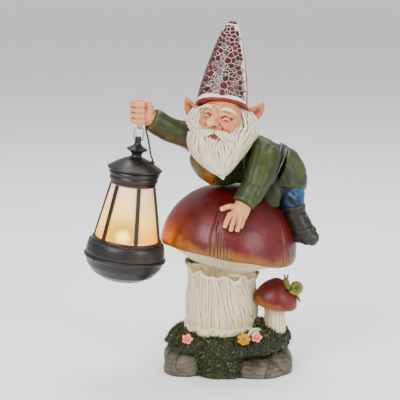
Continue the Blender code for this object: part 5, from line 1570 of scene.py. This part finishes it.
def make_tiles():
    """Shards of dark red, brown and grey tile, set in the grout with gaps between."""
    place, rng = hat_place(), np.random.default_rng(5)
    seeds = tile_seeds(rng)
    shapes, tints = [], []
    for i, s in enumerate(seeds):
        polygon = [s + np.array(c) for c in ((-9, -9), (9, -9), (9, 9), (-9, 9))]
        for j, t in enumerate(seeds):
            if j != i and np.linalg.norm(t - s) < 22:
                polygon = clipped(polygon, (s + t) / 2, (s - t) / np.linalg.norm(s - t))
                if len(polygon) < 3:
                    break
        if len(polygon) > 2:
            hem = MOSAIC_LOW + 3.2 + 1.2 * math.sin(s[0] * 0.7)
            polygon = clipped(polygon, np.array([0, hem]), np.array([0.0, 1.0]))
        if len(polygon) > 2:
            polygon = clipped(polygon, np.array([0, MOSAIC_HIGH - 1.2]), np.array([0.0, -1.0]))
        if len(polygon) < 3:
            continue
        for shard in shattered(polygon, rng.choice([22, 60], p=[0.4, 0.6]), rng):
            edge_in = inset(shard, rng.uniform(0.24, 0.36))
            if edge_in is None or area(edge_in) < 0.8:
                continue
            p = np.array(edge_in)
            across = p[:, 0] / mosaic_width(p[:, 1])
            if np.abs(across).max() > 0.985:
                continue
            centre = p.mean(0)
            rings = []
            for scale, out in ((1.0, 0.2), (1.0, 0.95), (0.86, 1.2)):
                q = centre + (p - centre) * scale
                rings.append(hat_point(MOSAIC_MIDDLE + q[:, 0] / hat_radius(q[:, 1]), q[:, 1], out))
            points, faces = sweep(rings)
            shapes.append((moved(points, place), faces))
            side = abs(centre[0] / mosaic_width(centre[1]))
            red_tile = np.array(srgb(*(np.array((86, 24, 28)) * rng.uniform(0.65, 1.15))))
            grey_tile = np.array(srgb(*(np.array((152, 142, 136)) * rng.uniform(0.8, 1.1))))
            dark_tile = np.array(srgb(54, 30, 26))
            pick = rng.uniform()
            tone = grey_tile if side > 0.72 and pick < 0.55 else (dark_tile if pick > 0.84 else red_tile)
            tints.append(np.tile(tone, (len(points), 1)))
    tiles = make("hat_tiles", merge(*shapes), 25)
    set_attribute(tiles, "paint", np.vstack(tints), "FLOAT_COLOR")
    set_attribute(tiles, "hollow", np.zeros(len(tiles.data.vertices)))
    finish(tiles, resin("tile_glaze", srgb(40, 12, 12), 0.3, None, 0, 2.5, 0.3, 0.3, 0.8, 0.05, 0.15),
           "statue", "hat_mosaic")


# ---------------------------------------------------------------- the lantern
def crisp(profile, radius=0.35):
    """The profile with each corner cut twice, so that edges catch the light."""
    p = np.asarray(profile, float)
    rows = [p[0]]
    for i in range(1, len(p) - 1):
        back, ahead = p[i - 1] - p[i], p[i + 1] - p[i]
        cut_back = min(radius, 0.35 * np.linalg.norm(back))
        cut_ahead = min(radius, 0.35 * np.linalg.norm(ahead))
        start = p[i] + back / np.linalg.norm(back) * cut_back
        end = p[i] + ahead / np.linalg.norm(ahead) * cut_ahead
        rows += [start, 0.25 * start + 0.5 * p[i] + 0.25 * end, end]
    return np.array(rows + [p[-1]])


def ring_profile(profile, radius=0.35):
    p = list(profile)
    closed = crisp([p[-1]] + p + [p[0]], radius)
    return closed[1:-1]


def black_metal():
    """Dark satin powder coat, rubbed brown on its edges."""
    material, tree, shader = new_material("lantern_coat")
    hollow = node(tree, "Attribute", attribute_name="hollow").outputs["Fac"]
    cloud, fleck = object_noise(tree, 14.0, 4.0), object_noise(tree, 0.9, 2.0)
    colour = mix(tree, remap(tree, cloud, 0.35, 0.65), srgb(36, 34, 33), srgb(48, 45, 43))
    rubbed = node(tree, "Math", operation="MULTIPLY")
    link(tree, remap(tree, hollow, -0.15, -0.6), rubbed.inputs[0])
    link(tree, remap(tree, object_noise(tree, 5.0, 4.0), 0.45, 0.75, 0.0, 0.6), rubbed.inputs[1])
    colour = mix(tree, rubbed.outputs[0], colour, srgb(70, 58, 50))
    link(tree, colour, shader.inputs["Base Color"])
    link(tree, remap(tree, cloud, 0.3, 0.7, 0.3, 0.44), shader.inputs["Roughness"])
    shader.inputs["Metallic"].default_value = 0.25
    relief = node(tree, "Bump", Strength=0.18, Distance=0.3 * MM)
    link(tree, fleck, relief.inputs["Height"])
    link(tree, relief.outputs["Normal"], shader.inputs["Normal"])
    return material


def frosted():
    """Frosted shade lit from below inside: white at a hot spot painted on its front where the LED shows
    through, yellow round it, peach above.
    """
    material, tree, shader = new_material("frosted_shade")
    place = lantern_frame()[1]
    # A fixed spot on the shade's front stands for the LED seen through the frost: a painted highlight.
    bulb = place @ Vector((-3.5, -32.0, -100.5))
    coordinates = node(tree, "TexCoord")
    away = node(tree, "VectorMath", operation="DISTANCE")
    link(tree, coordinates.outputs["Object"], away.inputs[0])
    away.inputs[1].default_value = tuple(bulb * MM)
    split = node(tree, "SeparateXYZ")
    link(tree, coordinates.outputs["Object"], split.inputs[0])
    low, high = (place @ Vector((0, 0, -106))).z * MM, (place @ Vector((0, 0, -50))).z * MM
    rise = remap(tree, split.outputs["Z"], low, high)
    up = node(tree, "ValToRGB")
    up.color_ramp.elements[0].color = (*srgb(255, 176, 74), 1)
    up.color_ramp.elements[1].color = (*srgb(240, 204, 176), 1)
    mid = up.color_ramp.elements.new(0.45)
    mid.color = (*srgb(254, 214, 138), 1)
    link(tree, rise, up.inputs["Fac"])
    near = remap(tree, away.outputs["Value"], 0.026, 0.009)
    hot = remap(tree, away.outputs["Value"], 0.0105, 0.003)
    colour = mix(tree, near, up.outputs["Color"], (0.95, 0.5, 0.01))
    colour = mix(tree, hot, colour, (1.0, 0.84, 0.2))
    link(tree, mix(tree, near, up.outputs["Color"], (0.24, 0.13, 0.0)), shader.inputs["Base Color"])
    link(tree, colour, shader.inputs["Emission Color"])
    power = node(tree, "Math", operation="MULTIPLY_ADD")
    link(tree, hot, power.inputs[0])
    power.inputs[1].default_value = 2.4
    link(tree, remap(tree, rise, 0.0, 1.0, 1.15, 0.65), power.inputs[2])
    link(tree, power.outputs[0], shader.inputs["Emission Strength"])
    frost = object_noise(tree, 0.8, 2.0)
    link(tree, remap(tree, frost, 0.3, 0.7, 0.42, 0.6), shader.inputs["Roughness"])
    relief = node(tree, "Bump", Strength=0.1, Distance=0.2 * MM)
    link(tree, frost, relief.inputs["Height"])
    link(tree, relief.outputs["Normal"], shader.inputs["Normal"])
    return material


def make_bail():
    hang = lantern_frame()[0]
    steel = plain("wire_steel", srgb(190, 186, 180), srgb(140, 134, 128), 3.0, 0.28, 1.0)
    eye_place = at(HOOK + Vector((0, 0, EYE_R - LINK))) @ spin("Z", EYE_YAW)
    a = round_angles(64)
    loop = moved(np.stack([EYE_R * np.cos(a), 0 * a, EYE_R * np.sin(a)], 1), eye_place)
    finish(make("hook_eye", tube(loop, WIRE_R, 14, True)), steel, "statue", "hand_eye")
    top = LINK - BAIL_R
    path = [(1.5, 0, -BAIL_DROP), (3.8, 0, -BAIL_DROP), (4.5, 0, -BAIL_DROP + 0.4),
            (4.8, 0, -BAIL_DROP + 1.3)]
    path += [(BAIL_R * math.cos(t), 0, top + BAIL_R * math.sin(t))
             for t in (math.pi * k / 16 for k in range(17))]
    path += [(-x, y, z) for x, y, z in path[3::-1]]
    finish(make("bail_wire", tube(moved(path, hang), WIRE_R, 14)), steel, "bail", "bail")


def make_turned_metal():
    place, coat = lantern_frame()[1], black_metal()
    turned = {"finial": ([(0.1, 3.5), (3.1, 3.5), (3.5, 3.0), (3.4, -3.5), (4.6, -5.6), (8, -7.8),
                          (11.2, -9.2), (11.5, -9.9), (10.8, -10.8), (8, -12.2), (6.2, -14.2),
                          (5.2, -16.2), (6.4, -17.9), (0.1, -17.9)], False, "lantern_finial"),
              "roof": ([(0.1, -18.2), (7, -18.4), (13, -20.6), (20, -24.4), (29.2, -30.2), (29.6, -31.4),
                        (28.6, -32.4), (26.8, -31.4), (19, -26.4), (12, -22.4), (0.1, -20.2)], False,
                       "lantern_roof"),
              "collar": ([(21.6, -33.4), (26.2, -32.8), (27.4, -35.4), (26.6, -38.2), (25.2, -38.8),
                          (26.2, -40.6), (26, -43.2), (24.6, -44.6), (24.8, -46.2), (24.4, -48),
                          (21.6, -48)], True, "lantern_collar"),
              "band": ([(33.7, -110.8), (38.6, -110.8), (40.8, -112), (41.8, -116), (42.6, -121),
                        (43, -125.4), (41, -125.4), (39.6, -116), (37.6, -112.8), (33.7, -112.8)], True,
                       "lantern_band"),
              "bowl": ([(43.2, -125.8), (44.6, -127), (44.6, -128.8), (43, -130.2), (40, -138),
                        (33, -146.4), (22, -152.4), (10, -155), (0.1, -155.4), (0.1, -153.4), (9.6, -153),
                        (21, -150.5), (31.5, -144.8), (38.2, -137), (41.2, -130), (41.2, -125.8)], True,
                       "lantern_bowl"),}
    for name, (profile, closed, cad) in turned.items():
        rows = ring_profile(profile) if closed else crisp(profile)
        part = make("metal_" + name, lathe(rows, 160, place, loop=closed), 50)
        measure_hollows(part, 3, 0.12)
        finish(part, coat, "lantern", cad)


def make_cage():
    place = lantern_frame()[1]
    bars = [lathe(ring_profile([(33.6, -107), (37.2, -107), (37.8, -108.4), (37.8, -110.4),
                                (33.6, -110.4)]), 160, place, loop=True)]
    for k in range(6):
        turn = place @ spin("Z", -132 + 60 * k)
        low, high = np.array([36.0, 0, -108]), np.array([23.9, 0, -48.5])
        corners = [(-1.0, -1.85), (-0.75, -2.1), (0.75, -2.1), (1.0, -1.85), (1.0, 1.85), (0.75, 2.1),
                   (-0.75, 2.1), (-1.0, 1.85)]
        rings = [[p + (dx, dy, 0) for dx, dy in corners]
                 for p in (low + (high - low) * t for t in np.linspace(0, 1, 8))]
        points, faces = sweep(rings)
        bars.append((moved(points, turn), faces))
    cage = make("metal_cage", merge(*bars), 40)
    measure_hollows(cage, 2, 0.12)
    finish(cage, bpy.data.materials["lantern_coat"], "lantern", "lantern_cage")


def make_shade():
    place = lantern_frame()[1]
    shade = make("shade_glass",
                 lathe(ring_profile([(22.4, -48.4), (28.4, -77.5), (34.4, -106.6), (33.4, -106.6),
                                     (27.4, -77.5), (21.4, -48.4)], 0.2), 144, place, loop=True))
    finish(shade, frosted(), "lantern", "lantern_shade")
    shade.visible_shadow = False


def make_glow():
    place = lantern_frame()[1]
    lamp = bpy.data.objects.new("lantern_glow", bpy.data.lights.new("lantern_glow", "POINT"))
    lamp.data.energy, lamp.data.color, lamp.data.shadow_soft_size = 0.12, (1.0, 0.5, 0.1), 0.006
    lamp.location = (place @ Vector((10, -4, -98))) * MM
    bpy.context.collection.objects.link(lamp)
    lamp.parent = frame["bodies"]["lantern"]
    lamp.matrix_parent_inverse = frame["bodies"]["lantern"].matrix_world.inverted()


def make_deck_and_led():
    place = lantern_frame()[1]
    floor = make("lantern_deck",
                 lathe(crisp([(0.1, -110.9), (33.2, -110.9), (33.2, -112.6), (0.1, -112.6)]), 96, place),
                 40)
    finish(floor, plain("deck_plastic", srgb(214, 210, 200), srgb(196, 190, 178), 8.0, 0.5), "lantern",
           "lantern_floor")
    led = make("led_bulb",
               lathe(crisp([(0.1, -110.5), (3.4, -110.5), (3.4, -109.4), (2.5, -109.2), (2.5, -104.6),
                            (1.8, -102.9), (0.1, -102.2)]), 40, place), 40)
    material, tree, shader = new_material("led_lens")
    tone = mix(tree, remap(tree, object_noise(tree, 2.0), 0.3, 0.7), srgb(255, 226, 120), srgb(255, 206, 90))
    link(tree, tone, shader.inputs["Base Color"])
    link(tree, tone, shader.inputs["Emission Color"])
    shader.inputs["Emission Strength"].default_value = 6.0
    shader.inputs["Roughness"].default_value = 0.15
    finish(led, material, "lantern", "lantern_led")


def make_screws_and_grommet():
    place = lantern_frame()[1]
    dark = plain("screw_black", srgb(30, 28, 27), srgb(52, 48, 46), 2.0, 0.36, 0.6)
    for letter, azimuth in (("a", -135), ("b", -15), ("c", 105)):
        spot = place @ spin("Z", azimuth) @ at((43.3, 0, -128)) @ spin("Y", 90)
        head = make("screw_" + letter,
                    lathe(crisp([(0.1, -2.4), (0.9, -2.4), (0.9, 0.6), (1.45, 0.6), (1.5, 1.4),
                                 (0.9, 1.75), (0.45, 1.6), (0.4, 1.2), (0.1, 1.1)], 0.12), 32, spot), 40)
        finish(head, dark, "lantern", "bowl_screw_" + letter)
    boot = make("grommet_rubber",
                lathe(ring_profile([(1.35, -27.5), (2.1, -27.5), (2.1, -23.2), (2.9, -23), (2.6, -21.2),
                                    (1.35, -21)], 0.2), 40, place @ at((LEAD_IN, 0, 0)), loop=True), 40)
    finish(boot, bpy.data.materials["lead_rubber"], "lantern", "roof_grommet")


# ---------------------------------------------------------------- the parts kept from the frame
def dress_kept_parts():
    """Machined and moulded parts keep their own shape, with softened edges and their finish."""
    black = plain("case_plastic", srgb(34, 33, 32), srgb(46, 45, 43), 6.0, 0.42, grain=0.5, bump=0.25)
    cells = solar_glass()
    finishes = {"solar_tray": black, "solar_panel": cells, "battery_box": black, "battery_door": black,
                "switch_slider": plain("switch_plastic", srgb(170, 40, 34), srgb(140, 30, 28), 3.0, 0.4),
                "door_screw": plain("screw_steel", srgb(196, 192, 186), srgb(150, 146, 140), 2.0, 0.3,
                                    1.0),
                "battery_cell": plain("cell_wrap", srgb(40, 110, 62), srgb(30, 84, 50), 9.0, 0.35),
                "contact_spring": plain("spring_steel", srgb(204, 200, 194), srgb(170, 166, 160), 2.0,
                                        0.25, 1.0)}
    for name, material in finishes.items():
        kept = frame["nodes"][name]
        kept.data.materials.clear()
        kept.data.materials.append(material)
        edge = kept.modifiers.new("edge", "BEVEL")
        edge.width, edge.segments, edge.limit_method = 0.3 * MM, 2, "ANGLE"


def solar_glass():
    """Dark blue cells behind glass, with fine silver lines."""
    material, tree, shader = new_material("solar_cells")
    coordinates = node(tree, "TexCoord")
    grid = node(tree, "TexBrick", Scale=1.0)
    grid.offset = 0.0
    grid.inputs["Brick Width"].default_value, grid.inputs["Row Height"].default_value = 0.0105, 0.0105
    grid.inputs["Mortar Size"].default_value = 0.0003
    grid.inputs["Color1"].default_value = (*srgb(16, 26, 58), 1)
    grid.inputs["Color2"].default_value = (*srgb(24, 36, 74), 1)
    grid.inputs["Mortar"].default_value = (*srgb(176, 180, 186), 1)
    link(tree, coordinates.outputs["Object"], grid.inputs["Vector"])
    colour = mix(tree, remap(tree, object_noise(tree, 5.0), 0.4, 0.7, 0.0, 0.25), grid.outputs["Color"],
                 srgb(40, 56, 104))
    link(tree, colour, shader.inputs["Base Color"])
    shader.inputs["Roughness"].default_value = 0.12
    shader.inputs["Coat Weight"].default_value = 1.0
    return material


# ---------------------------------------------------------------- everything
make_camera()
make_lead()
make_studio()
make_rocks()
make_turf()
make_flowers()
make_stem()
make_ring()
make_gills()
make_cap()
make_small_stalk()
make_small_cap()
make_snail()
make_coat()
make_coat_tail()
make_belt()
make_vest()
make_button()
make_legs()
make_face()
make_mouth()
make_ears()
strands = np.random.default_rng(11)
make_beard(strands)
make_moustache()
make_brows()
make_hair(strands)
make_raised_hand()
make_resting_hand()
make_hat()
make_grout()
make_tiles()
make_bail()
make_turned_metal()
make_cage()
make_shade()
make_glow()
make_deck_and_led()
make_screws_and_grommet()
dress_kept_parts()
